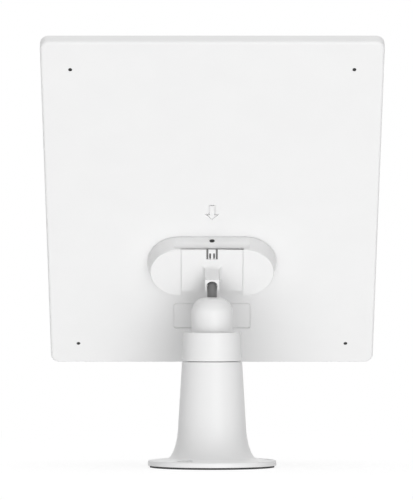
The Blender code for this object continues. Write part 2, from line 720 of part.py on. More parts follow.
def slide_plate(material, dock):
    """The plate in the housing's T-slot, with the arm that the tilt hinge carries."""
    low = -PLATE_BOTTOM
    rails = box((-rail_half, -rail_far, low), (rail_half, -rail_near, rail_top))
    plate = piece("slide_plate", rails, material, dock)
    neck_far = flange_near + SINK
    join(plate, box((-plate_half, -neck_far, low), (plate_half, SINK - rail_far, rail_top)))
    join(plate, box((-plate_half, -HOUSING_DEPTH, low), (plate_half, -flange_near, PLATE_TOP)))
    bottom = pivot_up - ARM_BELOW
    top = pivot_up + ARM_ABOVE
    stations = [(HOUSING_DEPTH - SINK, ARM_FILLET)]
    for i in range(CORNER_STEPS):
        a = math.pi / 2 * (i + 1) / CORNER_STEPS
        stations.append((HOUSING_DEPTH + ARM_FILLET * (1 - math.cos(a)), ARM_FILLET * (1 - math.sin(a))))
    stations.append((arm_end, 0.0))
    rings = []
    for depth, grow in stations:
        side = arm_width / 2 + grow
        rings.append(at_depth(rounded_rectangle(-side, side, bottom - grow, top + grow, ARM_EDGE), -depth))
    join(plate, loft(rings))
    half = arm_slot / 2
    roof = top - ARM_ROOF - half
    arch = arc((0.0, roof), half, 0, 180, 2 * CORNER_STEPS)
    arch += [(-half, bottom - PAST), (half, bottom - PAST)]
    slot_root = PIVOT_STANDOFF - STEM_RADIUS - CLEARANCE
    cut(plate, slab(arch, -slot_root, -arm_end - PAST))
    pin_hole = rod(
        (-arm_width, -PIVOT_STANDOFF, pivot_up),
        (arm_width, -PIVOT_STANDOFF, pivot_up),
        HINGE_PIN_RADIUS + PIN_CLEARANCE,
    )
    cut(plate, pin_hole)
    pocket_half = LATCH_WIDTH / 2 + LATCH_SLIT
    pocket_near = HOUSING_DEPTH - LATCH_THICKNESS - LATCH_ROOM
    pocket_low = LATCH_AXIS_UP - LATCH_THICKNESS / 2 - CLEARANCE
    pocket = box(
        (-pocket_half, -HOUSING_DEPTH - PAST, pocket_low), (pocket_half, -pocket_near, PLATE_TOP + PAST)
    )
    cut(plate, pocket)
    seat = pocket_half + TRUNNION_REACH + CLEARANCE
    start = (-seat, -latch_depth, LATCH_AXIS_UP)
    end = (seat, -latch_depth, LATCH_AXIS_UP)
    cut(plate, rod(start, end, TRUNNION_RADIUS + PIN_CLEARANCE))


def hinge_pin(material, tilt_axis):
    half = arm_width / 2
    piece("hinge_pin", rod((-half, 0, 0), (half, 0, 0), HINGE_PIN_RADIUS), material, tilt_axis)


def release_latch(material, latch_axis):
    """The finger that is lifted to free the panel, in the frame of its own axis."""
    root = LATCH_THICKNESS / 2
    step = rail_top - LATCH_AXIS_UP
    tip = PLATE_TOP - LATCH_AXIS_UP
    tip_near = root - PLATE_FLANGE
    outline = [(-root, -root), *arc((0.0, 0.0), root, 270, 360, CORNER_STEPS)]
    outline += [(root, step), (-tip_near, step), (-tip_near, tip), (-root, tip)]
    latch = piece("release_latch", side_prism(outline, LATCH_WIDTH / 2), material, latch_axis)
    groove_low = -root - PAST
    groove_high = LATCH_GROOVE_TOP - LATCH_AXIS_UP
    half = LATCH_GROOVE_WIDTH / 2
    grooves = [
        box(
            (side * LATCH_GROOVE_OFFSET - half, -root - PAST, groove_low),
            (side * LATCH_GROOVE_OFFSET + half, LATCH_GROOVE_DEPTH - root, groove_high),
        )
        for side in (-1, 1)
    ]
    cut(latch, group(grooves))
    reach = LATCH_WIDTH / 2 + LATCH_SLIT + TRUNNION_REACH
    join(latch, rod((-reach, 0, 0), (reach, 0, 0), TRUNNION_RADIUS))


def swivel_neck(material, swivel):
    """The domed neck with the journal that turns in the post, in the frame of the stand."""
    shoulder_middle = (NECK_RADIUS - NECK_SHOULDER, neck_top - NECK_SHOULDER)
    shoulder = arc(shoulder_middle, NECK_SHOULDER, 90, 0, 2 * FILLET_STEPS)
    screw_room = RETAINER_SCREW_RADIUS + PIN_CLEARANCE
    screw_end = retainer_bottom - CLEARANCE + RETAINER_SCREW_LENGTH - RETAINER_HEAD_HEIGHT
    stem_room = STEM_RADIUS + PIN_CLEARANCE
    stem_floor = neck_top - STEM_SEAT - CLEARANCE
    profile = [
        (0.0, stem_floor),
        (stem_room, stem_floor),
        (stem_room, neck_top),
        *shoulder,
        (NECK_RADIUS, neck_bottom),
        (journal_radius, neck_bottom),
        (journal_radius, journal_bottom),
        (screw_room, journal_bottom),
        (screw_room, screw_end + CLEARANCE),
        (0.0, screw_end + CLEARANCE),
    ]
    piece("swivel_neck", turned(profile), material, swivel)


def tilt_stem(material, swivel):
    """The dark rod in the neck, round at its top, where the hinge pin crosses it."""
    bottom = neck_top - STEM_SEAT
    profile = [(0.0, bottom), (STEM_RADIUS, bottom)]
    profile += arc((0.0, pivot_height), STEM_RADIUS, 0, 90, 2 * FILLET_STEPS)[:-1]
    profile.append((0.0, pivot_height + STEM_RADIUS))
    stem = piece("tilt_stem", turned(profile, SMALL_STEPS * 2), material, swivel)
    reach = STEM_RADIUS + PAST
    start = (-reach, 0, pivot_height)
    end = (reach, 0, pivot_height)
    cut(stem, rod(start, end, HINGE_PIN_RADIUS + PIN_CLEARANCE))


def ring(inner, outer, bottom, top):
    return turned([(inner, top), (outer, top), (outer, bottom), (inner, bottom)])


def retainer(material, swivel):
    """The washer under the journal and the screw that holds it."""
    screw_room = RETAINER_SCREW_RADIUS + PIN_CLEARANCE
    washer = ring(screw_room, retainer_radius, retainer_bottom, retainer_top)
    piece("retainer_washer", washer, material, swivel)
    screw = headed_screw(
        RETAINER_SCREW_RADIUS, RETAINER_SCREW_LENGTH, RETAINER_HEAD_RADIUS, RETAINER_HEAD_HEIGHT
    )
    head_bottom = retainer_bottom - CLEARANCE - RETAINER_HEAD_HEIGHT
    piece("retainer_screw", screw, material, swivel, (0.0, 0.0, head_bottom))


def clamp_collar(material, collar):
    edge = COLLAR_EDGE
    top = arc((collar_top_radius - edge, collar_top - edge), edge, 90, 0, FILLET_STEPS)
    bottom = arc((collar_bottom_radius - edge, collar_bottom + edge), edge, 0, -90, FILLET_STEPS)
    profile = [
        (ring_inner, collar_top),
        *top,
        *bottom,
        (collar_bore, collar_bottom),
        (collar_bore, lip_bottom),
        (ring_inner, lip_bottom),
    ]
    piece("clamp_collar", turned(profile), material, collar)


def clamp_ring(material, stand):
    """The split ring that the collar's lip presses against the neck."""
    clamp = piece("clamp_ring", ring(ring_inner, ring_outer, ring_bottom, ring_top), material, stand)
    low = (-CLAMP_RING_SPLIT / 2, 0.0, ring_bottom - PAST)
    high = (CLAMP_RING_SPLIT / 2, ring_outer + PAST, ring_top + PAST)
    cut(clamp, box(low, high))


def post_radius(height):
    """Radius of the post's skin above its flange: a cone with an elliptical flare at its foot."""
    cone = post_top_radius + POST_TAPER * (POST_HEIGHT - height)
    drop = FLARE_HEIGHT - (height - flare_bottom())
    if drop <= 0:
        return cone
    share = min(drop / FLARE_HEIGHT, 1.0)
    return cone + FLARE_REACH * (1 - math.sqrt(1 - share * share))


def flare_bottom():
    return flange_top + FLANGE_CROWN


def flare_foot_radius():
    return post_top_radius + POST_TAPER * (POST_HEIGHT - flare_bottom()) + FLARE_REACH


def base_plate_radius():
    return post_top_radius + POST_TAPER * (POST_HEIGHT - flange_bottom) + BASE_PLATE_REACH


def fixing_places():
    """Middles of the flange's screw holes, between the flare and the edge."""
    radius = (flare_foot_radius() + FLANGE_RADIUS) / 2
    angles = [FIXING_TURN + math.tau * i / FIXING_COUNT for i in range(FIXING_COUNT)]
    return [(radius * math.cos(a), radius * math.sin(a)) for a in angles]


def base_screw_places():
    """Middles of the base plate's screws, in the thick of the post's wall."""
    radius = (retainer_bore + post_top_radius) / 2
    angles = [FIXING_TURN + math.tau * (i + 0.5) / FIXING_COUNT for i in range(FIXING_COUNT)]
    return [(radius * math.cos(a), radius * math.sin(a)) for a in angles]


def post_body(material, stand):
    edge = POST_EDGE
    flare = []
    for i in range(FLARE_STEPS + 1):
        share = 1 - math.cos(math.pi / 2 * (1 - i / FLARE_STEPS))
        height = flare_bottom() + FLARE_HEIGHT * share
        flare.append((post_radius(height), height))
    rim = arc((FLANGE_RADIUS - FLANGE_EDGE, flange_top - FLANGE_EDGE), FLANGE_EDGE, 90, 0, FILLET_STEPS)
    recess_top = flange_bottom + BASE_PLATE_THICKNESS + CLEARANCE
    recess_radius = base_plate_radius() + CLEARANCE
    profile = [
        (bore_radius, spigot_top),
        (spigot_radius, spigot_top),
        (spigot_radius, POST_HEIGHT),
        *arc((post_top_radius - edge, POST_HEIGHT - edge), edge, 90, 0, FILLET_STEPS),
        *flare,
        *rim,
        (FLANGE_RADIUS, flange_bottom),
        (recess_radius, flange_bottom),
        (recess_radius, recess_top),
        (retainer_bore, recess_top),
        (retainer_bore, journal_bottom),
        (bore_radius, journal_bottom),
    ]
    post = piece("post_body", turned(profile), material, stand)
    above = flare_bottom() + PAST
    holes = [rod((x, y, 0.0), (x, y, above), FIXING_DIAMETER / 2) for x, y in fixing_places()]
    screw_top = flange_bottom + BASE_SCREW_LENGTH + CLEARANCE
    holes += [
        rod((x, y, flange_bottom), (x, y, screw_top), BASE_SCREW_RADIUS + PIN_CLEARANCE)
        for x, y in base_screw_places()
    ]
    cut(post, group(holes))
    seat = flange_top - FIXING_HEAD_DEPTH
    heads = [rod((x, y, seat), (x, y, above), FIXING_HEAD_DIAMETER / 2) for x, y in fixing_places()]
    cut(post, group(heads))


def base_plate(material, stand):
    """The plate that closes the post, and its three screws."""
    top = flange_bottom + BASE_PLATE_THICKNESS
    radius = base_plate_radius()
    disc = turned([(0.0, top), (radius, top), (radius, flange_bottom), (0.0, flange_bottom)])
    plate = piece("base_plate", disc, material, stand)
    holes = [
        rod((x, y, 0.0), (x, y, top + PAST), BASE_SCREW_RADIUS + CLEARANCE) for x, y in base_screw_places()
    ]
    cut(plate, group(holes))
    seat = flange_bottom + BASE_SCREW_HEAD_HEIGHT + CLEARANCE
    head_room = BASE_SCREW_HEAD_RADIUS + CLEARANCE
    cut(plate, group([rod((x, y, 0.0), (x, y, seat), head_room) for x, y in base_screw_places()]))
    screw = headed_screw(BASE_SCREW_RADIUS, BASE_SCREW_LENGTH, BASE_SCREW_HEAD_RADIUS, BASE_SCREW_HEAD_HEIGHT)
    copies("base_screw", screw, material, stand, [(x, y, flange_bottom) for x, y in base_screw_places()])


def foot_pad(material, stand):
    radius = FLANGE_RADIUS - PAD_INSET
    disc = turned([(0.0, PAD_THICKNESS), (radius, PAD_THICKNESS), (radius, 0.0), (0.0, 0.0)])
    pad = piece("foot_pad", disc, material, stand)
    holes = [
        rod((x, y, -PAST), (x, y, PAD_THICKNESS + PAST), FIXING_DIAMETER / 2) for x, y in fixing_places()
    ]
    cut(pad, group(holes))


def build_panel(white, dock):
    rear_shell(white, dock)
    perimeter_seal(finish("black_foam", (0.03, 0.03, 0.03), 0.9), dock)
    backing = sheet(sheet_inset, board_back, board_back + BOARD_THICKNESS)
    piece("backing_board", backing, finish("white_laminate", (0.75, 0.75, 0.74), 0.5), dock)
    tinned = finish("tinned_ribbon", (0.7, 0.7, 0.7), 0.35, 1.0)
    solar_cells(finish("silicon", (0.01, 0.014, 0.04), 0.3), tinned, dock)
    cover = sheet(sheet_inset, cover_back, cover_back + COVER_THICKNESS)
    piece("cover_sheet", cover, finish("clear_cover", (0.9, 0.92, 0.95), 0.08), dock)
    mount_housing(white, dock)
    steel = finish("zinc_steel", (0.6, 0.6, 0.6), 0.35, 1.0)
    housing_screws(steel, dock)
    materials = {
        "board": finish("green_laminate", (0.02, 0.16, 0.06), 0.45),
        "package": finish("dark_package", (0.02, 0.02, 0.02), 0.5),
        "can": steel,
        "lead": tinned,
    }
    regulator(materials, dock)
    cable_gland(finish("gland_rubber", (0.04, 0.04, 0.04), 0.8), dock)
    label = slab(label_outline(CLEARANCE), LABEL_SINK, LABEL_SINK + LABEL_THICKNESS)
    piece("label_plate", label, finish("blank_label", (0.86, 0.86, 0.86), 0.5), dock)


def build_bracket(white, tilt_axis, dock):
    slide_plate(white, dock)
    hinge_pin(finish("pin_steel", (0.55, 0.55, 0.55), 0.3, 1.0), tilt_axis)
    latch_axis = axis_empty("latch_axis", (0.0, -latch_depth, LATCH_AXIS_UP), dock)
    release_latch(white, latch_axis)


def build_stand(white):
    stand = axis_empty("stand", (0.0, 0.0, 0.0))
    swivel = axis_empty("swivel_axis", (0.0, 0.0, 0.0), stand)
    collar = axis_empty("collar_axis", (0.0, 0.0, 0.0), stand)
    steel = finish("stand_steel", (0.55, 0.55, 0.55), 0.35, 1.0)
    post_body(white, stand)
    nylon = finish("natural_nylon", (0.8, 0.79, 0.75), 0.5)
    clamp_ring(nylon, stand)
    washer = ring(bore_radius, spigot_radius, washer_bottom, washer_top)
    piece("thrust_washer", washer, nylon, stand)
    base_plate(steel, stand)
    foot_pad(finish("pad_rubber", (0.05, 0.05, 0.05), 0.85), stand)
    clamp_collar(white, collar)
    swivel_neck(white, swivel)
    tilt_stem(finish("dark_grey_stem", (0.17, 0.17, 0.17), 0.45), swivel)
    retainer(steel, swivel)
    return swivel


def main():
    clear_scene()
    white = finish("white_plastic", (0.87, 0.87, 0.87), 0.42)
    swivel = build_stand(white)
    tilt_axis = axis_empty("tilt_axis", (0.0, 0.0, pivot_height), swivel, PANEL_LEAN)
    dock = axis_empty("dock", (0.0, PIVOT_STANDOFF, PIVOT_DROP), tilt_axis)
    build_panel(white, dock)
    build_bracket(white, tilt_axis, dock)


main()
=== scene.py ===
"""The finish of a small solar panel charger on a stand: smooth shells, surfaces, light and camera.

Lengths are in metres, in the model's own frame: +Z up the post, the panel's back toward -Y and down.
The panel's pieces are shaped in the dock frame, where y = 0 is the panel's back, +y points to the sun and
z runs up the panel from the middle of the rear housing.
"""

import json
import math

import bmesh
import bpy
from mathutils import Matrix, Vector

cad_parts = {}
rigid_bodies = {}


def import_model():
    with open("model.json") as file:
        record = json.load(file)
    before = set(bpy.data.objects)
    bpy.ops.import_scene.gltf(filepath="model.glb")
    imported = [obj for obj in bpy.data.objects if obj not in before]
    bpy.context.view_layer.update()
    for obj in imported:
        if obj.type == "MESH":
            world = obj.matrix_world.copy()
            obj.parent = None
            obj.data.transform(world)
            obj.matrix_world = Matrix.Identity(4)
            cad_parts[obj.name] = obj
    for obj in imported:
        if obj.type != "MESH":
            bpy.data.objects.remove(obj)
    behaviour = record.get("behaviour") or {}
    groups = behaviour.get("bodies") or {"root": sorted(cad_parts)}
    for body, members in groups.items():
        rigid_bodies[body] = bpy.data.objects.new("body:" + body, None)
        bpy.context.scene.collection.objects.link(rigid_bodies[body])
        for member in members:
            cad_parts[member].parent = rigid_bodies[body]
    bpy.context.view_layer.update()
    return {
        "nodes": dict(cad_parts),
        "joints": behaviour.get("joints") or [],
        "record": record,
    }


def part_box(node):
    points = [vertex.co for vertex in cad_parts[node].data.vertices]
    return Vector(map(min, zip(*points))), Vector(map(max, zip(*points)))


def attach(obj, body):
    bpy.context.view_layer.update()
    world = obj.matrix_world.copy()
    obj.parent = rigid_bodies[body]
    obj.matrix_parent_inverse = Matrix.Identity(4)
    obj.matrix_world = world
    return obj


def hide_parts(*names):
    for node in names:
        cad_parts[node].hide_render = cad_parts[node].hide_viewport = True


MM = 0.001

# Fits, as in the solids
CLEARANCE = 0.3 * MM
PIN_CLEARANCE = 0.1 * MM
LAYER_GAP = 0.15 * MM

# Panel
PANEL_CORNER = 4.0 * MM
BACK_FILLET = 1.3 * MM
FRONT_FILLET = 0.4 * MM
SHELL_FLOOR = 1.4 * MM
SHELL_RIM = 1.8 * MM
VENT_DIAMETER = 1.8 * MM
VENT_INSET = 13.4 * MM
VENT_TOP_INSET = 15.0 * MM
VENT_BOTTOM_INSET = 12.1 * MM
VENT_SINK = 0.12 * MM
VENT_PLUG = 0.5 * MM
COVER_EDGE = 0.25 * MM

# Marks on the back
ARROW_TIP = 24.9 * MM
ARROW_LENGTH = 8.7 * MM
ARROW_HEAD_LENGTH = 3.4 * MM
ARROW_HEAD_WIDTH = 6.9 * MM
ARROW_SHAFT_WIDTH = 3.2 * MM
ARROW_RISE = 0.25 * MM
ARROW_GROOVE = 0.5 * MM
ARROW_GROOVE_DEPTH = 0.9 * MM
LABEL_CORNER = 1.2 * MM

# Cells
CELL_COLUMNS = 3
CELL_ROWS = 4
FINGER_COUNT = 26
FINGER_WIDTH = 0.11 * MM
FINGER_THICKNESS = 0.04 * MM
FINGER_MARGIN = 0.7 * MM

# Rear housing
HOUSING_RADIUS = 15.05 * MM
HOUSING_DRAFT = 1.5 * MM
HOUSING_EDGE = 0.4 * MM
HOUSING_WALL = 1.6 * MM
HOUSING_FACE = 1.5 * MM
LOBE_OFFSET = 15.4 * MM
CHANNEL_EDGE = 0.85 * MM
SLOT_UNDERCUT = 2.95 * MM
SLOT_FLOOR = 2.0 * MM
SLOT_LIP = 2.2 * MM
SLOT_TOP = 10.8 * MM
SCOOP_TOP_DEPTH = 3.85 * MM
SCOOP_BOTTOM_DEPTH = 7.5 * MM
SCOOP_BOTTOM = 11.7 * MM
KEEPER_WIDTH = 4.2 * MM
KEEPER_RISE = 0.55 * MM
RELEASE_DIAMETER = 2.5 * MM
RELEASE_DEPTH = 2.55 * MM
RELEASE_SINK = 0.25 * MM
RELEASE_PLUG = 1.6 * MM
SCREW_ACROSS = 5.4 * MM
SCREW_UP = 9.8 * MM
SCREW_RADIUS = 0.8 * MM
SCREW_HEAD_RADIUS = 1.7 * MM
SCREW_HEAD_HEIGHT = 0.6 * MM
SCREW_DEPTH = 4.2 * MM
BOSS_RADIUS = 2.0 * MM
BOARD_POST_RADIUS = 0.8 * MM
GLAND_BORE = 1.0 * MM

# Bracket plate, its arm and the latch
PLATE_FLANGE = 0.7 * MM
PLATE_GAP = 0.14 * MM
RAIL_TOP = 10.5 * MM
PIVOT_STANDOFF = 15.7 * MM
PIVOT_DROP = 1.7 * MM
ARM_ABOVE = 5.0 * MM
ARM_BELOW = 1.6 * MM
ARM_CHEEK = 0.75 * MM
ARM_FILLET = 1.9 * MM
ARM_ROOF = 1.0 * MM
ARM_EDGE = 0.4 * MM
PIN_EASE = 0.2 * MM
LATCH_EASE = 0.06 * MM
LATCH_WIDTH = 3.5 * MM
LATCH_SLIT = 0.9 * MM
LATCH_THICKNESS = 1.6 * MM
LATCH_ROOM = 1.5 * MM
LATCH_AXIS_UP = 8.9 * MM
LATCH_GAP = 0.05 * MM
LATCH_HEEL = 0.24 * MM  # where the underside starts to rise, in front of the axis
LATCH_TOE_RISE = 0.1 * MM  # room for the front corner to turn
SPRING_THICKNESS = 0.14 * MM
SPRING_GAP = 0.04 * MM
SPRING_ROOM = 0.2 * MM  # room for the finger's step to turn
LINER_SINK = 0.3 * MM
LATCH_GROOVE_WIDTH = 0.8 * MM
LATCH_GROOVE_OFFSET = 0.92 * MM
LATCH_GROOVE_TOP = 11.6 * MM
TRUNNION_RADIUS = 0.45 * MM
TRUNNION_REACH = 0.8 * MM

# Stand
NECK_SHOULDER = 7.0 * MM
NECK_STEP = 1.3 * MM
NECK_BOTTOM = 57.9 * MM
STEM_SEAT = 16.0 * MM
SCREW_ROOM_RADIUS = 1.5 * MM
SCREW_ROOM_DEPTH = 10.0 * MM
COLLAR_WALL = 1.8 * MM
COLLAR_TAPER = 0.5 * MM
COLLAR_LIP = 1.7 * MM
COLLAR_EDGE = 0.5 * MM
POST_LEDGE = 0.1 * MM
POST_TAPER = 0.0585
POST_EDGE = 0.4 * MM
FLARE_HEIGHT = 14.0 * MM
FLARE_REACH = 4.5 * MM
FLANGE_THICKNESS = 2.4 * MM
FLANGE_CROWN = 0.8 * MM
FLANGE_EDGE = 0.7 * MM
FIXING_COUNT = 3
FIXING_DIAMETER = 4.2 * MM
FIXING_HEAD_DIAMETER = 7.4 * MM
FIXING_HEAD_DEPTH = 1.0 * MM
FIXING_TURN = math.radians(-119.0)
BASE_PLATE_REACH = 1.5 * MM
BASE_PLATE_THICKNESS = 2.0 * MM
RETAINER_LIP = 0.6 * MM

# Smoothness
ROUND_STEPS = 160
LOBE_STEPS = 48
CORNER_STEPS = 14
FILLET_STEPS = 8
FLARE_STEPS = 26
HOLE_STEPS = 40
EASED_EDGE = 0.12 * MM
FINE_EASE = 0.05 * MM
EASE_STEPS = 2
SMOOTH_ANGLE = math.radians(32.0)
EASE_ANGLE = math.radians(40.0)
FLAT_ANGLE = math.radians(0.5)
WELD = 0.000001
PAST = 1.0 * MM  # how far a cutting body reaches past a face
SINK = 0.3 * MM  # how far joined bodies overlap

# Places of the colour sockets on a Mix node
MIX_FIRST = 6
MIX_SECOND = 7
MIX_RESULT = 2

# Camera, at the photograph's frame of 413 x 500
CAMERA_PLACE = (-0.0026, -1.576, 0.0712)
CAMERA_PITCH = math.radians(91.1)
CAMERA_LENS = 242.6

# Light
WHITE = (1.0, 1.0, 1.0, 1.0)
SKY_LIGHT = 1.22
SKY_TOWARD = (0.0, 0.0, 1.0)
SKY_FOCUS = 1.0
FRONT_LIGHT = 2.5
FRONT_TOWARD = (0.0, -0.82, -0.57)
FRONT_FOCUS = 6.0
GROUND_LIGHT = 0.5
GROUND_TOWARD = (0.0, -0.3, -0.95)
GROUND_FOCUS = 2.0
KEY_PLACE = (0.5, -1.6, -0.1)
KEY_SIZE = 0.95
KEY_POWER = 4.0
LIGHT_TARGET = (0.0, 0.0, 0.09)
FLOOR_RADIUS = 6.0
FLOOR_DROP = 0.02 * MM
FLOOR_SHADE = 0.35
FLOOR_GLOW = 0.72
FLOOR_FADE_START = 0.10
FLOOR_FADE_END = 0.45

for leftover in list(bpy.data.objects):
    bpy.data.objects.remove(leftover)

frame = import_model()
joints = {joint["name"]: joint for joint in frame["joints"]}


def dock_frame():
    """The frame of the panel's back, from the tilt hinge and the direction the panel slides."""
    up = Vector(joints["panel_slide"]["axis"])
    across = Vector((1.0, 0.0, 0.0))
    sunward = up.cross(across)
    middle = Vector(joints["panel_tilt"]["pos_m"]) + sunward * PIVOT_STANDOFF + up * PIVOT_DROP
    turn = Matrix((across, sunward, up)).transposed().to_4x4()
    return Matrix.Translation(middle) @ turn


dock = dock_frame()


def reach(node):
    """Lowest and highest corner of a CAD node in the dock frame."""
    inverse = dock.inverted()
    points = [inverse @ vertex.co for vertex in frame["nodes"][node].data.vertices]
    low = Vector([min(point[i] for point in points) for i in range(3)])
    high = Vector([max(point[i] for point in points) for i in range(3)])
    return low, high


def housing_depth():
    return -reach("mount_housing")[0].y


def pin_bore():
    """The radius of the holes that the hinge pin crosses."""
    low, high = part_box("hinge_pin")
    return (high.z - low.z) / 2 + PIN_CLEARANCE


# Meshes

def to_mesh(shape, name="shape"):
    mesh = bpy.data.meshes.new(name)
    shape.to_mesh(mesh)
    shape.free()
    return mesh


def loft(rings):
    """A closed body through rings of as many points each."""
    shape = bmesh.new()
    loops = [[shape.verts.new(point) for point in ring] for ring in rings]
    shape.faces.new(loops[0])
    shape.faces.new(loops[-1])
    for low, high in zip(loops, loops[1:]):
        for i, corner in enumerate(low):
            shape.faces.new((corner, low[i - 1], high[i - 1], high[i]))
    bmesh.ops.recalc_face_normals(shape, faces=shape.faces)
    return to_mesh(shape)


def at_depth(outline, y):
    return [(x, y, z) for x, z in outline]


def slab(outline, near, far):
    """An (x, z) outline given thickness along y."""
    return loft([at_depth(outline, near), at_depth(outline, far)])


def side_prism(outline, half_width):
    """A (y, z) outline given width along x."""
    return loft([[(x, y, z) for y, z in outline] for x in (-half_width, half_width)])


def box(low, high):
    shape = bmesh.new()
    size = Vector(high) - Vector(low)
    place = Matrix.Translation((Vector(low) + Vector(high)) / 2) @ Matrix.Diagonal((*size, 1.0))
    bmesh.ops.create_cube(shape, size=1.0, matrix=place)
    return to_mesh(shape)


def rod(start, end, radius):
    shape = bmesh.new()
    along = Vector(end) - Vector(start)
    turn = along.to_track_quat("Z", "Y").to_matrix().to_4x4()
    place = Matrix.Translation((Vector(start) + Vector(end)) / 2) @ turn
    bmesh.ops.create_cone(
        shape,
        cap_ends=True,
        segments=HOLE_STEPS,
        radius1=radius,
        radius2=radius,
        depth=along.length,
        matrix=place,
    )
    return to_mesh(shape)


def group(meshes):
    """Several separate bodies in one mesh."""
    together = bmesh.new()
    for mesh in meshes:
        together.from_mesh(mesh)
    return to_mesh(together)


def arc(centre, radius, start, end, steps):
    """Points of an arc, angles in degrees."""
    angles = [math.radians(start + (end - start) * i / steps) for i in range(steps + 1)]
    return [(centre[0] + radius * math.cos(a), centre[1] + radius * math.sin(a)) for a in angles]


def rounded_rectangle(left, right, bottom, top, radius):
    corners = [
        ((right - radius, top - radius), 0),
        ((left + radius, top - radius), 90),
        ((left + radius, bottom + radius), 180),
        ((right - radius, bottom + radius), 270),
    ]
    return [p for centre, start in corners for p in arc(centre, radius, start, start + 90, CORNER_STEPS)]


def in_scene(name, data):
    obj = bpy.data.objects.new(name, data)
    bpy.context.scene.collection.objects.link(obj)
    return obj


def quarter(steps):
    """A quarter round's shares of its radius at each step: still to go one way, and gone the other way."""
    angles = [math.pi / 2 * i / steps for i in range(steps + 1)]
    return [(1 - math.sin(a), 1 - math.cos(a)) for a in angles]


def scratch_object(mesh):
    return in_scene("scratch", mesh)


def evaluated(obj):
    """A plain mesh of the object as its modifiers leave it."""
    graph = bpy.context.evaluated_depsgraph_get()
    return bpy.data.meshes.new_from_object(obj.evaluated_get(graph), depsgraph=graph)


def carved(mesh, steps):
    """The mesh after a row of Booleans, each an operation and the mesh that it uses."""
    body = scratch_object(mesh)
    tools = []
    for operation, tool in steps:
        tools.append(scratch_object(tool))
        modifier = body.modifiers.new(operation.lower(), "BOOLEAN")
        modifier.operation = operation
        modifier.object = tools[-1]
        modifier.solver = "EXACT"
    result = evaluated(body)
    for obj in (body, *tools):
        bpy.data.objects.remove(obj)
    return result


def eased(mesh, width=EASED_EDGE):
    """The mesh with its flat faces merged, its sharp edges rounded and its shading even."""
    shape = bmesh.new()
    shape.from_mesh(mesh)
    bmesh.ops.remove_doubles(shape, verts=shape.verts, dist=WELD)
    bmesh.ops.dissolve_limit(shape, angle_limit=FLAT_ANGLE, verts=shape.verts, edges=shape.edges)
    body = scratch_object(to_mesh(shape))
    if width:
        bevel = body.modifiers.new("ease", "BEVEL")
        bevel.width = width
        bevel.segments = EASE_STEPS
        bevel.limit_method = "ANGLE"
        bevel.angle_limit = EASE_ANGLE
    result = evaluated(body)
    bpy.data.objects.remove(body)
    return even_shading(result)


def even_shading(mesh):
    """Smooth shading that keeps sharp edges sharp and flat faces flat."""
    mesh.shade_smooth()
    mesh.set_sharp_from_angle(angle=SMOOTH_ANGLE)
    body = scratch_object(mesh)
    weighted = body.modifiers.new("even", "WEIGHTED_NORMAL")
    weighted.keep_sharp = True
    result = evaluated(body)
    bpy.data.objects.remove(body)
    return result


def node_copy(node):
    """A CAD node's triangles as a mesh of their own."""
    source = frame["nodes"][node].data
    mesh = bpy.data.meshes.new(node)
    mesh.from_pydata([v.co for v in source.vertices], [], [tuple(p.vertices) for p in source.polygons])
    return mesh


# Geometry node trees

def new_tree(name, inputs):
    """A geometry node tree with one geometry output and named inputs, given as name to socket type."""
    tree = bpy.data.node_groups.new(name, "GeometryNodeTree")
    for label, kind in inputs.items():
        tree.interface.new_socket(label, in_out="INPUT", socket_type=kind)
    tree.interface.new_socket("Piece", in_out="OUTPUT", socket_type="NodeSocketGeometry")
    return tree, tree.nodes.new("NodeGroupInput"), tree.nodes.new("NodeGroupOutput")


def feed(tree, socket, value):
    """Sets a node's input to a value, or links it to another node's output."""
    if isinstance(value, bpy.types.NodeSocket):
        tree.links.new(value, socket)
    else:
        socket.default_value = value


def joined(tree, kind, sockets):
    """A node whose inputs are set, by name, to a value or to another node's output."""
    node = tree.nodes.new(kind)
    for label, value in sockets.items():
        feed(tree, node.inputs[label], value)
    return node


def finished(tree, output, geometry, finish):
    """Ends a tree: instances made real, then the finish."""
    real = joined(tree, "GeometryNodeRealizeInstances", {"Geometry": geometry})
    painted = joined(tree, "GeometryNodeSetMaterial", {"Geometry": real.outputs[0], "Material": finish})
    tree.links.new(painted.outputs[0], output.inputs[0])


def turned_tree():
    """Sweeps a profile of (radius less guide radius, height downward) points round the Z axis."""
    others = {"Guide Radius": "NodeSocketFloat", "Steps": "NodeSocketInt", "Finish": "NodeSocketMaterial"}
    tree, given, output = new_tree("turned_piece", {"Profile": "NodeSocketGeometry", **others})
    profile = joined(tree, "GeometryNodeMeshToCurve", {"Mesh": given.outputs["Profile"]})
    circle = joined(
        tree,
        "GeometryNodeCurvePrimitiveCircle",
        {"Resolution": given.outputs["Steps"], "Radius": given.outputs["Guide Radius"]},
    )
    upright = joined(tree, "GeometryNodeSetCurveNormal", {"Curve": circle.outputs[0]})
    upright.mode = "Z_UP"
    swept = joined(
        tree, "GeometryNodeCurveToMesh", {"Curve": upright.outputs[0], "Profile Curve": profile.outputs[0]}
    )
    welded = joined(tree, "GeometryNodeMergeByDistance", {"Geometry": swept.outputs[0], "Distance": WELD})
    finished(tree, output, welded.outputs[0], given.outputs["Finish"])
    return tree


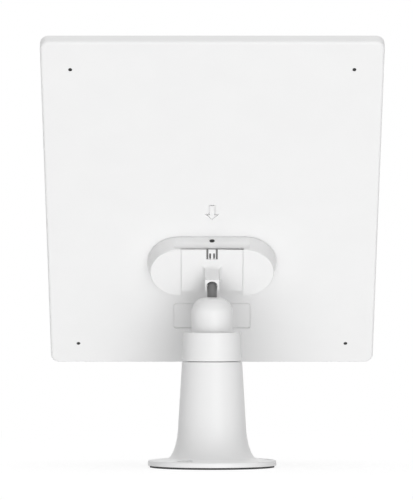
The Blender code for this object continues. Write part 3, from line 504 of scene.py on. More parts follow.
def finger_tree():
    """Thin printed lines across each cell of a grid of cells."""
    sizes = [
        "Column Pitch", "Row Pitch", "Finger Length", "Finger Width", "Finger Thickness", "Finger Pitch",
        "First Finger",
    ]
    inputs = {"Cells": "NodeSocketGeometry"}
    inputs.update({label: "NodeSocketInt" for label in ("Columns", "Rows", "Fingers")})
    inputs.update({label: "NodeSocketFloat" for label in sizes})
    inputs["Finish"] = "NodeSocketMaterial"
    tree, given, output = new_tree("cell_fingers", inputs)
    size = joined(
        tree,
        "ShaderNodeCombineXYZ",
        {
            "X": given.outputs["Finger Length"],
            "Y": given.outputs["Finger Thickness"],
            "Z": given.outputs["Finger Width"],
        },
    )
    finger = joined(tree, "GeometryNodeMeshCube", {"Size": size.outputs[0]})
    start = joined(tree, "ShaderNodeCombineXYZ", {"Z": given.outputs["First Finger"]})
    step = joined(tree, "ShaderNodeCombineXYZ", {"Z": given.outputs["Finger Pitch"]})
    column = joined(
        tree,
        "GeometryNodeMeshLine",
        {"Count": given.outputs["Fingers"], "Start Location": start.outputs[0], "Offset": step.outputs[0]},
    )
    lines = joined(
        tree, "GeometryNodeInstanceOnPoints", {"Points": column.outputs[0], "Instance": finger.outputs[0]}
    )
    across = joined(tree, "ShaderNodeCombineXYZ", {"X": given.outputs["Column Pitch"]})
    upward = joined(tree, "ShaderNodeCombineXYZ", {"Z": given.outputs["Row Pitch"]})
    row = joined(
        tree, "GeometryNodeMeshLine", {"Count": given.outputs["Columns"], "Offset": across.outputs[0]}
    )
    stack = joined(
        tree, "GeometryNodeMeshLine", {"Count": given.outputs["Rows"], "Offset": upward.outputs[0]}
    )
    cells = joined(
        tree, "GeometryNodeInstanceOnPoints", {"Points": stack.outputs[0], "Instance": lines.outputs[0]}
    )
    panel = joined(
        tree, "GeometryNodeInstanceOnPoints", {"Points": row.outputs[0], "Instance": cells.outputs[0]}
    )
    finished(tree, output, panel.outputs[0], given.outputs["Finish"])
    return tree


def grown(tree, mesh, values):
    """The plain mesh that a tree makes of a base mesh, with its inputs set by name."""
    body = scratch_object(mesh)
    modifier = body.modifiers.new(tree.name, "NODES")
    modifier.node_group = tree
    for item in tree.interface.items_tree:
        if item.in_out == "INPUT" and item.name in values:
            modifier[item.identifier] = values[item.name]
    result = evaluated(body)
    bpy.data.objects.remove(body)
    return result


def turned(profile, finish):
    """A body of revolution from a (radius, height) outline, closed or with both ends on the axis."""
    guide = max(radius for radius, height in profile)
    count = len(profile)
    edges = [(i, i + 1) for i in range(count - 1)]
    if profile[0][0] > 0:
        edges.append((count - 1, 0))
    outline = bpy.data.meshes.new("profile")
    outline.from_pydata([(radius - guide, -height, 0.0) for radius, height in profile], edges, [])
    mesh = grown(turning, outline, {"Guide Radius": guide, "Steps": ROUND_STEPS, "Finish": finish})
    shape = bmesh.new()
    shape.from_mesh(mesh)
    bmesh.ops.recalc_face_normals(shape, faces=shape.faces)
    return to_mesh(shape)


# Materials

def principled(name, colour, roughness, metallic=0.0):
    material = bpy.data.materials.new(name)
    material.use_nodes = True
    shader = material.node_tree.nodes["Principled BSDF"]
    shader.inputs["Base Color"].default_value = (*colour, 1.0)
    shader.inputs["Roughness"].default_value = roughness
    shader.inputs["Metallic"].default_value = metallic
    return material, material.node_tree, shader


def noise(tree, scale, detail=2.0):
    """A noise on object coordinates."""
    place = tree.nodes.new("ShaderNodeTexCoord")
    return joined(
        tree, "ShaderNodeTexNoise", {"Vector": place.outputs["Object"], "Scale": scale, "Detail": detail}
    )


def vary_roughness(tree, shader, texture, low, high):
    span = joined(
        tree, "ShaderNodeMapRange", {"Value": texture.outputs["Fac"], "To Min": low, "To Max": high}
    )
    tree.links.new(span.outputs[0], shader.inputs["Roughness"])


def vary_colour(tree, shader, texture, first, second):
    mix = tree.nodes.new("ShaderNodeMix")
    mix.data_type = "RGBA"
    tree.links.new(texture.outputs["Fac"], mix.inputs["Factor"])
    mix.inputs[MIX_FIRST].default_value = (*first, 1.0)
    mix.inputs[MIX_SECOND].default_value = (*second, 1.0)
    tree.links.new(mix.outputs[MIX_RESULT], shader.inputs["Base Color"])


def add_grain(tree, shader, texture, depth):
    """Bump of a given depth in metres."""
    bump = joined(
        tree, "ShaderNodeBump", {"Height": texture.outputs["Fac"], "Strength": 1.0, "Distance": depth}
    )
    tree.links.new(bump.outputs[0], shader.inputs["Normal"])


def surfaced(name, colours, roughness, grain, depth, cloud=60.0, metallic=0.0):
    """A finish whose colour and gloss drift over the piece at one scale of noise, with a grain at another."""
    material, tree, shader = principled(name, colours[0], roughness[0], metallic)
    drift = noise(tree, cloud, detail=3.0)
    vary_colour(tree, shader, drift, *colours)
    vary_roughness(tree, shader, drift, *roughness)
    add_grain(tree, shader, noise(tree, grain), depth)
    return material


def grey(level):
    return (level, level, level)


def clear_cover():
    material, tree, shader = principled("clear_cover", (0.93, 0.95, 0.97), 0.06)
    shader.inputs["Transmission Weight"].default_value = 1.0
    shader.inputs["IOR"].default_value = 1.45
    add_grain(tree, shader, noise(tree, scale=900.0, detail=1.0), depth=0.002 * MM)
    return material


def silicon():
    """Dark blue wafer with a faint drift of hue and a soft coating."""
    material, tree, shader = principled("silicon", (0.008, 0.012, 0.035), 0.24)
    drift = noise(tree, scale=35.0, detail=3.0)
    vary_colour(tree, shader, drift, (0.006, 0.009, 0.026), (0.012, 0.019, 0.052))
    vary_roughness(tree, shader, drift, low=0.2, high=0.3)
    shader.inputs["Coat Weight"].default_value = 0.3
    shader.inputs["Coat Roughness"].default_value = 0.1
    add_grain(tree, shader, noise(tree, scale=4000.0), depth=0.003 * MM)
    return material


def finishes():
    """Every finish, by the name of the record's material slot."""
    white = (grey(0.86), grey(0.89))
    tin = (grey(0.62), grey(0.74))
    laminate = (grey(0.72), grey(0.77))
    mask = ((0.016, 0.13, 0.05), (0.024, 0.18, 0.07))
    resin = (grey(0.016), grey(0.026))
    zinc = (grey(0.54), grey(0.64))
    foam = (grey(0.02), grey(0.04))
    rubber = (grey(0.03), grey(0.045))
    pad = (grey(0.045), grey(0.06))
    stem_paint = (grey(0.15), grey(0.175))
    nylon = ((0.79, 0.78, 0.73), (0.83, 0.82, 0.77))
    return {
        "white_plastic": surfaced("satin_white", white, (0.30, 0.38), 5200.0, 0.004 * MM),
        "label_film": surfaced("label_film", white, (0.40, 0.48), 2600.0, 0.003 * MM),
        "cover_glass": clear_cover(),
        "silicon_cell": silicon(),
        "tinned_ribbon": surfaced("tinned_ribbon", tin, (0.28, 0.4), 3000.0, 0.004 * MM, 400.0, 1.0),
        "laminate_board": surfaced("white_laminate", laminate, (0.45, 0.55), 2400.0, 0.01 * MM),
        "circuit_board": surfaced("solder_mask", mask, (0.35, 0.5), 1500.0, 0.01 * MM, 500.0),
        "dark_package": surfaced("moulded_resin", resin, (0.45, 0.6), 6000.0, 0.01 * MM),
        "zinc_steel": surfaced("zinc_steel", zinc, (0.28, 0.42), 2500.0, 0.003 * MM, 500.0, 1.0),
        "black_foam": surfaced("closed_cell_foam", foam, (0.8, 0.95), 3500.0, 0.08 * MM),
        "gland_rubber": surfaced("gland_rubber", rubber, (0.7, 0.85), 4500.0, 0.015 * MM),
        "pad_rubber": surfaced("pad_rubber", pad, (0.75, 0.9), 4000.0, 0.02 * MM),
        "dark_stem": surfaced("dark_grey_paint", stem_paint, (0.4, 0.5), 5000.0, 0.005 * MM),
        "nylon": surfaced("natural_nylon", nylon, (0.45, 0.55), 4000.0, 0.005 * MM),
    }


# Pieces

def add_piece(name, mesh, body, slot, *nodes):
    """A finished piece that rides on a body, in the place of the nodes it stands for."""
    if not mesh.materials:
        mesh.materials.append(finish[slot])
    mesh.name = name
    obj = in_scene(name, mesh)
    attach(obj, body)
    if nodes:
        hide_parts(*nodes)
    return obj


def panel_outline(inset):
    low, high = reach("rear_shell")
    return rounded_rectangle(
        low.x + inset, high.x - inset, low.z + inset, high.z - inset, PANEL_CORNER - inset
    )


def vent_places():
    low, high = reach("rear_shell")
    across = high.x - VENT_INSET
    heights = (low.z + VENT_BOTTOM_INSET, high.z - VENT_TOP_INSET)
    return [(side * across, up) for side in (-1, 1) for up in heights]


def screw_places():
    across = LOBE_OFFSET + SCREW_ACROSS
    return [(side * across, up) for side in (-1, 1) for up in (-SCREW_UP, SCREW_UP)]


def arrow_outline(grow=0.0):
    """A block arrow pointing down, its outline moved out by a width, or in where that is negative."""
    head = ARROW_HEAD_WIDTH / 2
    slant = math.hypot(head, ARROW_HEAD_LENGTH)
    corner = head + grow * (head + slant) / ARROW_HEAD_LENGTH
    shaft = ARROW_SHAFT_WIDTH / 2 + grow
    neck = ARROW_TIP + ARROW_HEAD_LENGTH + grow
    top = ARROW_TIP + ARROW_LENGTH + grow
    right = [(corner, neck), (shaft, neck), (shaft, top)]
    left = [(-x, z) for x, z in reversed(right)]
    return [(0.0, ARROW_TIP - grow * slant / head), *right, *left]


def shell():
    """The panel's back and rim."""
    front = reach("rear_shell")[1].y
    rings = []
    for left, gone in quarter(FILLET_STEPS):
        rings.append(at_depth(panel_outline(BACK_FILLET * left), BACK_FILLET * gone))
    for left, gone in quarter(FILLET_STEPS):
        rings.append(at_depth(panel_outline(FRONT_FILLET * gone), front - FRONT_FILLET * left))
    label_low, label_high = reach("label_plate")
    pocket = rounded_rectangle(
        label_low.x - CLEARANCE, label_high.x + CLEARANCE, label_low.z - CLEARANCE, label_high.z + CLEARANCE,
        LABEL_CORNER,
    )
    through = SHELL_FLOOR + PAST
    holes = [(x, z, VENT_DIAMETER / 2) for x, z in vent_places()]
    holes += [(x, z, SCREW_RADIUS + CLEARANCE) for x, z in screw_places()]
    for lead in ("panel_lead_1", "panel_lead_2"):
        low, high = reach(lead)
        middle = (low + high) / 2
        holes.append((middle.x, middle.z, (high.x - low.x) / 2 + CLEARANCE))
    bars = [rod((x, -PAST, z), (x, through, z), radius) for x, z, radius in holes]
    seat = SHELL_FLOOR - SCREW_HEAD_HEIGHT - CLEARANCE - PIN_CLEARANCE
    heads = [rod((x, seat, z), (x, through, z), SCREW_HEAD_RADIUS + CLEARANCE) for x, z in screw_places()]
    mesh = carved(
        loft(rings),
        [
            ("DIFFERENCE", slab(panel_outline(SHELL_RIM), SHELL_FLOOR, front + PAST)),
            ("DIFFERENCE", slab(pocket, -PAST, label_high.y + LAYER_GAP)),
            ("DIFFERENCE", slab(arrow_outline(), -PAST, ARROW_GROOVE_DEPTH)),
            ("UNION", slab(arrow_outline(-ARROW_GROOVE), -ARROW_RISE, ARROW_GROOVE_DEPTH + SINK)),
            ("DIFFERENCE", group(bars)),
            ("DIFFERENCE", group(heads)),
        ],
    )
    mesh.transform(dock)
    add_piece("panel_shell", eased(mesh, width=0.0), "panel", "white_plastic", "rear_shell")


def cover():
    """The clear sheet over the cells, its edges ground."""
    low, high = reach("cover_sheet")
    corner = PANEL_CORNER - SHELL_RIM - CLEARANCE
    rings = []
    stations = [
        (COVER_EDGE, low.y),
        (0.0, low.y + COVER_EDGE),
        (0.0, high.y - COVER_EDGE),
        (COVER_EDGE, high.y),
    ]
    for inset, depth in stations:
        left, right = low.x + inset, high.x - inset
        outline = rounded_rectangle(left, right, low.z + inset, high.z - inset, corner - inset)
        rings.append(at_depth(outline, depth))
    mesh = loft(rings)
    mesh.transform(dock)
    add_piece("clear_cover", even_shading(mesh), "panel", "cover_glass", "cover_sheet")


def fingers():
    """The printed lines on the cells' faces."""
    low, high = reach("solar_cell_1")
    next_column = reach(f"solar_cell_{CELL_ROWS + 1}")[0].x
    next_row = reach("solar_cell_2")[0].z
    pitch = (high.z - low.z) / FINGER_COUNT
    middle = (low + high) / 2
    base = bpy.data.meshes.new("base")
    values = {
        "Columns": CELL_COLUMNS,
        "Rows": CELL_ROWS,
        "Fingers": FINGER_COUNT,
        "Column Pitch": next_column - low.x,
        "Row Pitch": next_row - low.z,
        "Finger Length": high.x - low.x - 2 * FINGER_MARGIN,
        "Finger Width": FINGER_WIDTH,
        "Finger Thickness": FINGER_THICKNESS,
        "Finger Pitch": pitch,
        "First Finger": (pitch - (high.z - low.z)) / 2,
        "Finish": finish["tinned_ribbon"],
    }
    mesh = grown(finger_tree(), base, values)
    mesh.transform(Matrix.Translation((middle.x, high.y + FINGER_THICKNESS, middle.z)))
    mesh.transform(dock)
    add_piece("cell_fingers", mesh, "panel", "tinned_ribbon")


def stadium(radius):
    right = arc((LOBE_OFFSET, 0.0), radius, -90, 90, LOBE_STEPS)
    left = arc((-LOBE_OFFSET, 0.0), radius, 90, 270, LOBE_STEPS)
    return right + left


def lobe_hollow(side, wall, depth, radius_at):
    """One lobe's room, a D that the slot's wall cuts off."""
    rings = []
    for y in (-PAST, depth):
        radius = radius_at(y) - HOUSING_WALL
        turn = math.degrees(math.acos((wall - LOBE_OFFSET) / radius))
        points = arc((LOBE_OFFSET, 0.0), radius, -turn, turn, LOBE_STEPS)
        rings.append([(side * x, -y, z) for x, z in points])
    return loft(rings)


def gland_axis():
    """The cable gland's inner and outer ends in the dock frame, and its radius."""
    low, high = reach("cable_gland")
    radius = (high.y - low.y) / 2
    middle = (low + high) / 2
    outward = Vector((middle.x - LOBE_OFFSET, 0.0, middle.z)).normalized()
    spans = [high.x - low.x, high.z - low.z]
    share = abs(outward.x) + abs(outward.z)
    length = (sum(spans) - 2 * radius * share) / share
    return middle - outward * length / 2, middle + outward * length / 2, radius


def regulator_posts(room):
    """The two posts that carry the regulator board."""
    low, high = reach("regulator_board")
    inset = 2 * BOARD_POST_RADIUS
    across = low.x + inset
    ends = [(-room - SINK, low.y - CLEARANCE, z) for z in (low.z + inset, high.z - inset)]
    return [rod((across, foot, z), (across, top, z), BOARD_POST_RADIUS) for foot, top, z in ends]


def housing():
    """The rear housing, with the slot that slides over the bracket plate."""
    depth = housing_depth()
    channel = LOBE_OFFSET - CHANNEL_EDGE
    slot = channel + SLOT_UNDERCUT
    wall = slot + HOUSING_WALL
    lip = depth - SLOT_LIP
    room = depth - HOUSING_FACE

    def radius_at(y):
        return HOUSING_RADIUS - HOUSING_DRAFT * y / depth

    rings = [at_depth(stadium(radius_at(CLEARANCE)), -CLEARANCE)]
    for left, gone in quarter(FILLET_STEPS):
        y = depth - HOUSING_EDGE * left
        rings.append(at_depth(stadium(radius_at(y) - HOUSING_EDGE * gone), -y))
    below = -HOUSING_RADIUS - PAST
    above = HOUSING_RADIUS + PAST
    mouth = -depth - PAST
    crest = radius_at(SCOOP_TOP_DEPTH)
    slope = (crest - SCOOP_BOTTOM) / (SCOOP_BOTTOM_DEPTH - SCOOP_TOP_DEPTH)
    scoop = [
        ((above - crest) / slope - SCOOP_TOP_DEPTH, above),
        (-SCOOP_BOTTOM_DEPTH, SCOOP_BOTTOM),
        (-SCOOP_BOTTOM_DEPTH, above),
    ]
    keeper_far = SCOOP_BOTTOM_DEPTH - PIN_CLEARANCE
    keeper_low = SCOOP_BOTTOM + slope * PIN_CLEARANCE
    keeper = [
        (-SCOOP_TOP_DEPTH, crest - KEEPER_RISE),
        (-SCOOP_TOP_DEPTH, crest + SINK / 2),
        (-keeper_far, keeper_low + KEEPER_RISE),
        (-keeper_far, keeper_low - KEEPER_RISE),
    ]
    bosses = [
        rod((x, -room - SINK, z), (x, -CLEARANCE - PIN_CLEARANCE, z), BOSS_RADIUS) for x, z in screw_places()
    ]
    holes = [
        rod((x, -SCREW_DEPTH, z), (x, PAST, z), SCREW_RADIUS + PIN_CLEARANCE) for x, z in screw_places()
    ]
    holes.append(rod((0, -RELEASE_DEPTH, SLOT_TOP - PAST), (0, -RELEASE_DEPTH, above), RELEASE_DIAMETER / 2))
    inner, outer, gland_radius = gland_axis()
    along = (outer - inner).normalized() * PAST
    holes.append(rod(inner - along, outer + along, gland_radius + CLEARANCE))
    mesh = carved(
        loft(rings),
        [
            ("DIFFERENCE", group([lobe_hollow(side, wall, room, radius_at) for side in (-1, 1)])),
            ("UNION", group(bosses)),
            ("UNION", group(regulator_posts(room))),
            ("DIFFERENCE", box((-slot, -lip, below), (slot, -SLOT_FLOOR, SLOT_TOP))),
            ("DIFFERENCE", box((-channel, mouth, below), (channel, SINK - lip, SLOT_TOP))),
            ("DIFFERENCE", side_prism(scoop, slot)),
            ("DIFFERENCE", box((-channel, mouth, SLOT_TOP - SINK), (channel, -SCOOP_BOTTOM_DEPTH, above))),
            ("UNION", side_prism(keeper, KEEPER_WIDTH / 2)),
            ("DIFFERENCE", group(holes)),
        ],
    )
    mesh.transform(dock)
    add_piece("rear_housing", eased(mesh), "panel", "white_plastic", "mount_housing")


def bracket():
    """The plate in the housing's slot, with the arm that the hinge pin crosses."""
    low, high = reach("slide_plate")
    depth = housing_depth()
    channel = LOBE_OFFSET - CHANNEL_EDGE
    plate_half = channel - PLATE_GAP
    rail_near = SLOT_FLOOR + CLEARANCE
    rail_far = depth - SLOT_LIP - CLEARANCE
    flange_near = depth - PLATE_FLANGE
    neck_far = flange_near + SINK
    pivot_up = -PIVOT_DROP
    bottom = pivot_up - ARM_BELOW
    top = pivot_up + ARM_ABOVE
    slot_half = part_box("tilt_stem")[1].x + CLEARANCE
    arm_half = slot_half + ARM_CHEEK
    stations = [(depth - SINK, ARM_FILLET)]
    for left, gone in quarter(CORNER_STEPS)[1:]:
        stations.append((depth + ARM_FILLET * gone, ARM_FILLET * left))
    stations.append((-low.y, 0.0))
    rings = []
    for y, grow in stations:
        side = arm_half + grow
        rings.append(at_depth(rounded_rectangle(-side, side, bottom - grow, top + grow, ARM_EDGE), -y))
    arch = arc((0.0, top - ARM_ROOF - slot_half), slot_half, 0, 180, LOBE_STEPS)
    arch += [(-slot_half, bottom - PAST), (slot_half, bottom - PAST)]
    pocket_half = LATCH_WIDTH / 2 + LATCH_SLIT
    pocket_near = depth - LATCH_THICKNESS - LATCH_ROOM
    pocket_low = LATCH_AXIS_UP - LATCH_THICKNESS / 2 - LATCH_GAP
    seat = pocket_half + TRUNNION_REACH + CLEARANCE
    latch_y = LATCH_THICKNESS / 2 - depth
    trunnion_seat = rod(
        (-seat, latch_y, LATCH_AXIS_UP), (seat, latch_y, LATCH_AXIS_UP), TRUNNION_RADIUS + PIN_CLEARANCE
    )
    pocket = box((-pocket_half, -depth - PAST, pocket_low), (pocket_half, -pocket_near, high.z + PAST))
    reach_out = 2 * arm_half
    pin_ends = [(side * reach_out, -PIVOT_STANDOFF, pivot_up) for side in (-1, 1)]
    pin_hole = rod(*pin_ends, pin_bore())
    mesh = carved(
        box((low.x, -rail_far, low.z), (high.x, -rail_near, RAIL_TOP)),
        [
            ("UNION", box((-plate_half, -neck_far, low.z), (plate_half, SINK - rail_far, RAIL_TOP))),
            ("UNION", box((-plate_half, -depth, low.z), (plate_half, -flange_near, high.z))),
            ("UNION", loft(rings)),
            ("DIFFERENCE", slab(arch, slot_half - PIVOT_STANDOFF, low.y - PAST)),
            ("DIFFERENCE", pin_hole),
            ("DIFFERENCE", pocket),
            ("DIFFERENCE", trunnion_seat),
        ],
    )
    mesh.transform(dock)
    add_piece("bracket_plate", eased(mesh), "bracket", "white_plastic", "slide_plate")


def latch():
    """The finger at the top of the plate, with its two grooves and its trunnions."""
    depth = housing_depth()
    root = LATCH_THICKNESS / 2
    step = RAIL_TOP - LATCH_AXIS_UP
    tip = reach("slide_plate")[1].z - LATCH_AXIS_UP
    tip_near = root - PLATE_FLANGE
    outline = [(-root, LATCH_TOE_RISE - root), (-LATCH_HEEL, -root)]
    outline += arc((0.0, 0.0), root, 270, 360, CORNER_STEPS)
    outline += [(root, step), (-tip_near, step), (-tip_near, tip), (-root, tip)]
    half = LATCH_GROOVE_WIDTH / 2
    groove_high = LATCH_GROOVE_TOP - LATCH_AXIS_UP
    grooves = [
        box(
            (side * LATCH_GROOVE_OFFSET - half, -root - PAST, -root - PAST),
            (side * LATCH_GROOVE_OFFSET + half, root + PAST, groove_high),
        )
        for side in (-1, 1)
    ]
    inner = LATCH_WIDTH / 2 - SINK
    outer = LATCH_WIDTH / 2 + LATCH_SLIT + TRUNNION_REACH
    stubs = [rod((side * inner, 0.0, 0.0), (side * outer, 0.0, 0.0), TRUNNION_RADIUS) for side in (-1, 1)]
    mesh = carved(
        side_prism(outline, LATCH_WIDTH / 2),
        [
            ("DIFFERENCE", group(grooves)),
            ("UNION", group(stubs)),
        ],
    )
    mesh.transform(dock @ Matrix.Translation((0.0, root - depth, LATCH_AXIS_UP)))
    add_piece("latch_finger", eased(mesh, LATCH_EASE), "latch", "white_plastic", "release_latch")


def spring():
    """The leaf spring behind the latch, with liners in its two outer slits; their dark finish is painted
    shade, so the slits and the latch's grooves read dark.
    """
    depth = housing_depth()
    near = LATCH_WIDTH / 2 + SPRING_GAP
    half = LATCH_WIDTH / 2 + LATCH_SLIT - SPRING_GAP
    low = LATCH_AXIS_UP - LATCH_THICKNESS / 2
    high = reach("slide_plate")[1].z
    face = LINER_SINK - depth
    root = LATCH_THICKNESS + SPRING_GAP - depth
    tip = PLATE_FLANGE + SPRING_GAP - depth
    root_back = root + SPRING_THICKNESS
    tip_back = tip + SPRING_THICKNESS
    root_top = RAIL_TOP - SPRING_ROOM
    tip_low = RAIL_TOP + SPRING_ROOM
    leaf = [(face, low), (root_back, low), (root_back, root_top)]
    leaf += [(tip_back, root_top), (tip_back, high), (face, high)]
    before = face - PAST
    room = [(before, low - PAST), (root, low - PAST), (root, tip_low), (tip, tip_low)]
    room += [(tip, high + PAST), (before, high + PAST)]
    across = LATCH_THICKNESS / 2 - depth
    ends = [(side * 2 * half, across, LATCH_AXIS_UP) for side in (-1, 1)]
    bore = rod(*ends, TRUNNION_RADIUS + SPRING_GAP / 2)
    mesh = carved(
        side_prism(leaf, half),
        [("DIFFERENCE", side_prism(room, near)), ("DIFFERENCE", bore)],
    )
    mesh.transform(dock)
    # dark finish on the leaf and liners: painted shade in the slits and grooves
    add_piece("latch_spring_and_slit_shade", even_shading(mesh), "bracket", "dark_stem")


def label():
    """The blank label, its edges eased."""
    add_piece("blank_label", eased(node_copy("label_plate"), FINE_EASE), "panel", "label_film", "label_plate")


def gland():
    """The rubber gland with its bore."""
    inner, outer, radius = gland_axis()
    along = (outer - inner).normalized() * PAST
    mesh = carved(rod(inner, outer, radius), [("DIFFERENCE", rod(inner - along, outer + along, GLAND_BORE))])
    mesh.transform(dock)
    add_piece("rubber_gland", eased(mesh), "panel", "gland_rubber", "cable_gland")


def plug_tree():
    """One low round plug at each point of the base mesh."""
    sizes = {"Radius": "NodeSocketFloat", "Height": "NodeSocketFloat", "Steps": "NodeSocketInt"}
    inputs = {"Places": "NodeSocketGeometry", **sizes, "Finish": "NodeSocketMaterial"}
    tree, given, output = new_tree("plugs", inputs)
    disc = joined(
        tree,
        "GeometryNodeMeshCylinder",
        {
            "Vertices": given.outputs["Steps"],
            "Radius": given.outputs["Radius"],
            "Depth": given.outputs["Height"],
        },
    )
    upright = joined(
        tree, "GeometryNodeTransform", {"Geometry": disc.outputs["Mesh"], "Rotation": (math.pi / 2, 0.0, 0.0)}
    )
    plugs = joined(
        tree,
        "GeometryNodeInstanceOnPoints",
        {"Points": given.outputs["Places"], "Instance": upright.outputs[0]},
    )
    finished(tree, output, plugs.outputs[0], given.outputs["Finish"])
    return tree


def vent_plugs():
    """The dark membranes in the four small holes of the back."""
    places = bpy.data.meshes.new("places")
    middle = VENT_SINK + VENT_PLUG / 2
    places.from_pydata([(x, middle, z) for x, z in vent_places()], [], [])
    values = {
        "Radius": VENT_DIAMETER / 2,
        "Height": VENT_PLUG,
        "Steps": HOLE_STEPS,
        "Finish": finish["black_foam"],
    }
    mesh = grown(plug_tree(), places, values)
    mesh.transform(dock)
    add_piece("vent_membranes", even_shading(mesh), "panel", "black_foam")


def release_plug():
    """The dark plug just inside the release hole in the housing's top."""
    depth = housing_depth()
    top = HOUSING_RADIUS - HOUSING_DRAFT * RELEASE_DEPTH / depth - RELEASE_SINK
    start = (0.0, -RELEASE_DEPTH, top - RELEASE_PLUG)
    mesh = rod(start, (0.0, -RELEASE_DEPTH, top), RELEASE_DIAMETER / 2)
    mesh.transform(dock)
    add_piece("release_plug", eased(mesh, FINE_EASE), "panel", "gland_rubber")


def pin():
    """The tilt hinge's pin, its ends chamfered."""
    low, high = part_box("hinge_pin")
    middle = (low + high) / 2
    mesh = rod((low.x, middle.y, middle.z), (high.x, middle.y, middle.z), (high.z - low.z) / 2)
    add_piece("tilt_pin", eased(mesh, PIN_EASE), "bracket", "zinc_steel", "hinge_pin")


def neck():
    """The domed neck and the journal below it."""
    low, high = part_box("swivel_neck")
    radius = high.x
    journal = radius - NECK_STEP
    stem_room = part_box("tilt_stem")[1].x + PIN_CLEARANCE
    stem_floor = high.z - STEM_SEAT - CLEARANCE
    profile = [
        (0.0, stem_floor),
        (stem_room, stem_floor),
        (stem_room, high.z),
        *arc((radius - NECK_SHOULDER, high.z - NECK_SHOULDER), NECK_SHOULDER, 90, 0, 3 * FILLET_STEPS),
        (radius, NECK_BOTTOM),
        (journal, NECK_BOTTOM),
        (journal, low.z),
        (SCREW_ROOM_RADIUS, low.z),
        (SCREW_ROOM_RADIUS, low.z + SCREW_ROOM_DEPTH),
        (0.0, low.z + SCREW_ROOM_DEPTH),
    ]
    mesh = turned(profile, finish["white_plastic"])
    add_piece("domed_neck", even_shading(mesh), "swivel", "white_plastic", "swivel_neck")


def stem():
    """The dark rod with its round top, crossed by the hinge pin."""
    low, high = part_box("tilt_stem")
    radius = high.x
    pivot = Vector(joints["panel_tilt"]["pos_m"])
    profile = [(0.0, low.z), (radius, low.z)]
    profile += arc((0.0, pivot.z), radius, 0, 90, 2 * FILLET_STEPS)[:-1]
    profile.append((0.0, pivot.z + radius))
    hole = rod((-radius - PAST, pivot.y, pivot.z), (radius + PAST, pivot.y, pivot.z), pin_bore())
    mesh = carved(turned(profile, finish["dark_stem"]), [("DIFFERENCE", hole)])
    add_piece("grey_stem", even_shading(mesh), "swivel", "dark_stem", "tilt_stem")


def collar():
    low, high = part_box("clamp_collar")
    top_radius = high.x - COLLAR_TAPER
    bore = top_radius - COLLAR_WALL
    lip_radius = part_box("swivel_neck")[1].x + CLEARANCE
    edge = COLLAR_EDGE
    profile = [
        (lip_radius, high.z),
        *arc((top_radius - edge, high.z - edge), edge, 90, 0, FILLET_STEPS),
        *arc((high.x - edge, low.z + edge), edge, 0, -90, FILLET_STEPS),
        (bore, low.z),
        (bore, high.z - COLLAR_LIP),
        (lip_radius, high.z - COLLAR_LIP),
    ]
    mesh = turned(profile, finish["white_plastic"])
    add_piece("neck_collar", even_shading(mesh), "collar", "white_plastic", "clamp_collar")


def fixing_places(flare_foot, flange_radius):
    """Middles of the flange's screw holes, between the flare and the edge."""
    radius = (flare_foot + flange_radius) / 2
    angles = [FIXING_TURN + math.tau * i / FIXING_COUNT for i in range(FIXING_COUNT)]
    return [(radius * math.cos(a), radius * math.sin(a)) for a in angles]


def post_and_pad():
    """The flared post with its flange, and the rubber pad under it."""
    low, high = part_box("post_body")
    collar_low, collar_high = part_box("clamp_collar")
    neck_low, neck_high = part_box("swivel_neck")
    pad_low, pad_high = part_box("foot_pad")
    seam = collar_low.z - CLEARANCE
    top_radius = collar_high.x + POST_LEDGE
    flange_top = low.z + FLANGE_THICKNESS
    flare_bottom = flange_top + FLANGE_CROWN
    journal = neck_high.x - NECK_STEP
    bore = journal + CLEARANCE
    room = journal + RETAINER_LIP + CLEARANCE
    spigot = collar_high.x - COLLAR_TAPER - COLLAR_WALL - CLEARANCE

    def cone(z):
        return top_radius + POST_TAPER * (seam - z)

    flare = []
    for i in range(FLARE_STEPS + 1):
        share = 1 - math.cos(math.pi / 2 * (1 - i / FLARE_STEPS))
        z = flare_bottom + FLARE_HEIGHT * share
        flare.append((cone(z) + FLARE_REACH * (1 - math.sqrt(1 - (1 - share) ** 2)), z))
    recess_radius = cone(low.z) + BASE_PLATE_REACH + CLEARANCE
    recess_top = low.z + BASE_PLATE_THICKNESS + CLEARANCE
    profile = [
        (bore, high.z),
        (spigot, high.z),
        (spigot, seam),
        *arc((top_radius - POST_EDGE, seam - POST_EDGE), POST_EDGE, 90, 0, FILLET_STEPS),
        *flare,
        *arc((high.x - FLANGE_EDGE, flange_top - FLANGE_EDGE), FLANGE_EDGE, 90, 0, FILLET_STEPS),
        (high.x, low.z),
        (recess_radius, low.z),
        (recess_radius, recess_top),
        (room, recess_top),
        (room, neck_low.z),
        (bore, neck_low.z),
    ]
    places = fixing_places(cone(flare_bottom) + FLARE_REACH, high.x)
    above = flare_bottom + PAST
    seat = flange_top - FIXING_HEAD_DEPTH
    holes = [rod((x, y, -PAST), (x, y, above), FIXING_DIAMETER / 2) for x, y in places]
    heads = [rod((x, y, seat), (x, y, above), FIXING_HEAD_DIAMETER / 2) for x, y in places]
    mesh = carved(
        turned(profile, finish["white_plastic"]), [("DIFFERENCE", group(holes)), ("DIFFERENCE", group(heads))]
    )
    add_piece("flared_post", even_shading(mesh), "stand", "white_plastic", "post_body")
    disc = [(0.0, pad_high.z), (pad_high.x, pad_high.z), (pad_high.x, pad_low.z), (0.0, pad_low.z)]
    mesh = carved(turned(disc, finish["pad_rubber"]), [("DIFFERENCE", group(holes))])
    add_piece("rubber_pad", even_shading(mesh), "stand", "pad_rubber", "foot_pad")


def paint_nodes():
    """The finish of every CAD node that stays."""
    for entry in frame["record"]["subparts"]:
        node = frame["nodes"][entry["node"]]
        for place in node.material_slots:
            place.material = finish[entry["material_slot"]]


# Stage

def photo_camera():
    data = bpy.data.cameras.new("photo_camera")
    data.lens = CAMERA_LENS
    camera = in_scene("photo_camera", data)
    camera.location = CAMERA_PLACE
    camera.rotation_euler = (CAMERA_PITCH, 0.0, 0.0)
    bpy.context.scene.camera = camera


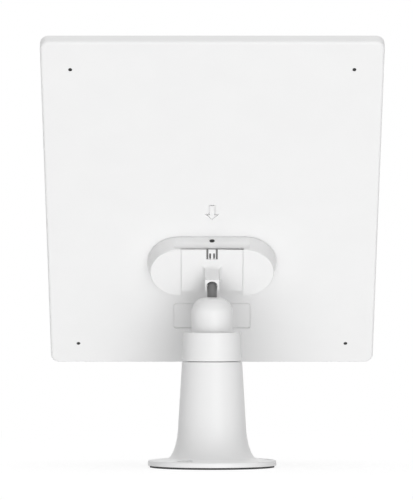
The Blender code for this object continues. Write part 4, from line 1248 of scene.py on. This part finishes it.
def softbox(name, place, size, power):
    data = bpy.data.lights.new(name, "AREA")
    data.shape = "DISK"
    data.size = size
    data.energy = power
    lamp = in_scene(name, data)
    lamp.location = place
    lamp.rotation_euler = (Vector(place) - Vector(LIGHT_TARGET)).to_track_quat("Z", "Y").to_euler()
    lamp.visible_camera = False


def reckoned(tree, operation, first, second):
    """One step of arithmetic in a shader tree, each side a number or another node's output."""
    node = tree.nodes.new("ShaderNodeMath")
    node.operation = operation
    for socket, value in zip(node.inputs, (first, second)):
        feed(tree, socket, value)
    return node.outputs[0]


def mixed(tree, share, first, second):
    """Two shaders mixed, with a share of 0 for the first alone."""
    mix = tree.nodes.new("ShaderNodeMixShader")
    for socket, value in zip(mix.inputs, (share, first.outputs[0], second.outputs[0])):
        tree.links.new(value, socket)
    return mix.outputs[0]


def seen_rays(tree):
    """1 for rays that show the background: from the camera, in reflections and through glass."""
    path = tree.nodes.new("ShaderNodeLightPath")
    outside = reckoned(tree, "MAXIMUM", path.outputs["Is Camera Ray"], path.outputs["Is Glossy Ray"])
    return reckoned(tree, "MAXIMUM", outside, path.outputs["Is Transmission Ray"])


def light_toward(tree, direction, focus, strength):
    """Light of the world that is strongest from one direction and falls off to its sides."""
    place = tree.nodes.new("ShaderNodeTexCoord")
    along = tree.nodes.new("ShaderNodeVectorMath")
    along.operation = "DOT_PRODUCT"
    tree.links.new(place.outputs["Generated"], along.inputs[0])
    along.inputs[1].default_value = Vector(direction).normalized()
    facing = reckoned(tree, "MAXIMUM", along.outputs["Value"], 0.0)
    return reckoned(tree, "MULTIPLY", reckoned(tree, "POWER", facing, focus), strength)


def white_world():
    """Soft light from above, from low in front and from below, and plain white where the world is seen."""
    world = bpy.data.worlds.new("white_studio")
    world.use_nodes = True
    tree = world.node_tree
    tree.nodes.clear()
    sky = light_toward(tree, SKY_TOWARD, SKY_FOCUS, SKY_LIGHT)
    front = light_toward(tree, FRONT_TOWARD, FRONT_FOCUS, FRONT_LIGHT)
    ground = light_toward(tree, GROUND_TOWARD, GROUND_FOCUS, GROUND_LIGHT)
    strength = reckoned(tree, "ADD", reckoned(tree, "ADD", sky, front), ground)
    light = joined(tree, "ShaderNodeBackground", {"Color": WHITE, "Strength": strength})
    seen = joined(tree, "ShaderNodeBackground", {"Color": WHITE, "Strength": 1.0})
    joined(tree, "ShaderNodeOutputWorld", {"Surface": mixed(tree, seen_rays(tree), light, seen)})
    bpy.context.scene.world = world


def pale_floor():
    """A white floor that shows the object's shadow near it, fades into the background and blocks no light."""
    shape = bmesh.new()
    bmesh.ops.create_circle(shape, cap_ends=True, segments=ROUND_STEPS, radius=FLOOR_RADIUS)
    mesh = to_mesh(shape, "floor")
    mesh.transform(Matrix.Translation((0.0, 0.0, -FLOOR_DROP)))
    floor = in_scene("floor", mesh)
    material = bpy.data.materials.new("pale_floor")
    material.use_nodes = True
    tree = material.node_tree
    tree.nodes.clear()
    shade = joined(tree, "ShaderNodeBsdfDiffuse", {"Color": (*grey(FLOOR_SHADE), 1)})
    glow = joined(tree, "ShaderNodeEmission", {"Strength": FLOOR_GLOW})
    near = tree.nodes.new("ShaderNodeAddShader")
    tree.links.new(shade.outputs[0], near.inputs[0])
    tree.links.new(glow.outputs[0], near.inputs[1])
    far = joined(tree, "ShaderNodeEmission", {"Strength": 1.0})
    place = tree.nodes.new("ShaderNodeTexCoord")
    distance = tree.nodes.new("ShaderNodeVectorMath")
    distance.operation = "LENGTH"
    tree.links.new(place.outputs["Object"], distance.inputs[0])
    fade = joined(
        tree,
        "ShaderNodeMapRange",
        {"Value": distance.outputs["Value"], "From Min": FLOOR_FADE_START, "From Max": FLOOR_FADE_END},
    )
    fade.interpolation_type = "SMOOTHSTEP"
    joined(tree, "ShaderNodeOutputMaterial", {"Surface": mixed(tree, fade.outputs[0], near, far)})
    mesh.materials.append(material)
    floor.visible_diffuse = False
    floor.visible_shadow = False


bpy.context.scene.view_settings.view_transform = "Standard"
finish = finishes()
turning = turned_tree()
shell()
cover()
fingers()
housing()
bracket()
latch()
spring()
label()
gland()
vent_plugs()
release_plug()
pin()
neck()
stem()
collar()
post_and_pad()
paint_nodes()
photo_camera()
softbox("key_softbox", KEY_PLACE, KEY_SIZE, KEY_POWER)
white_world()
pale_floor()
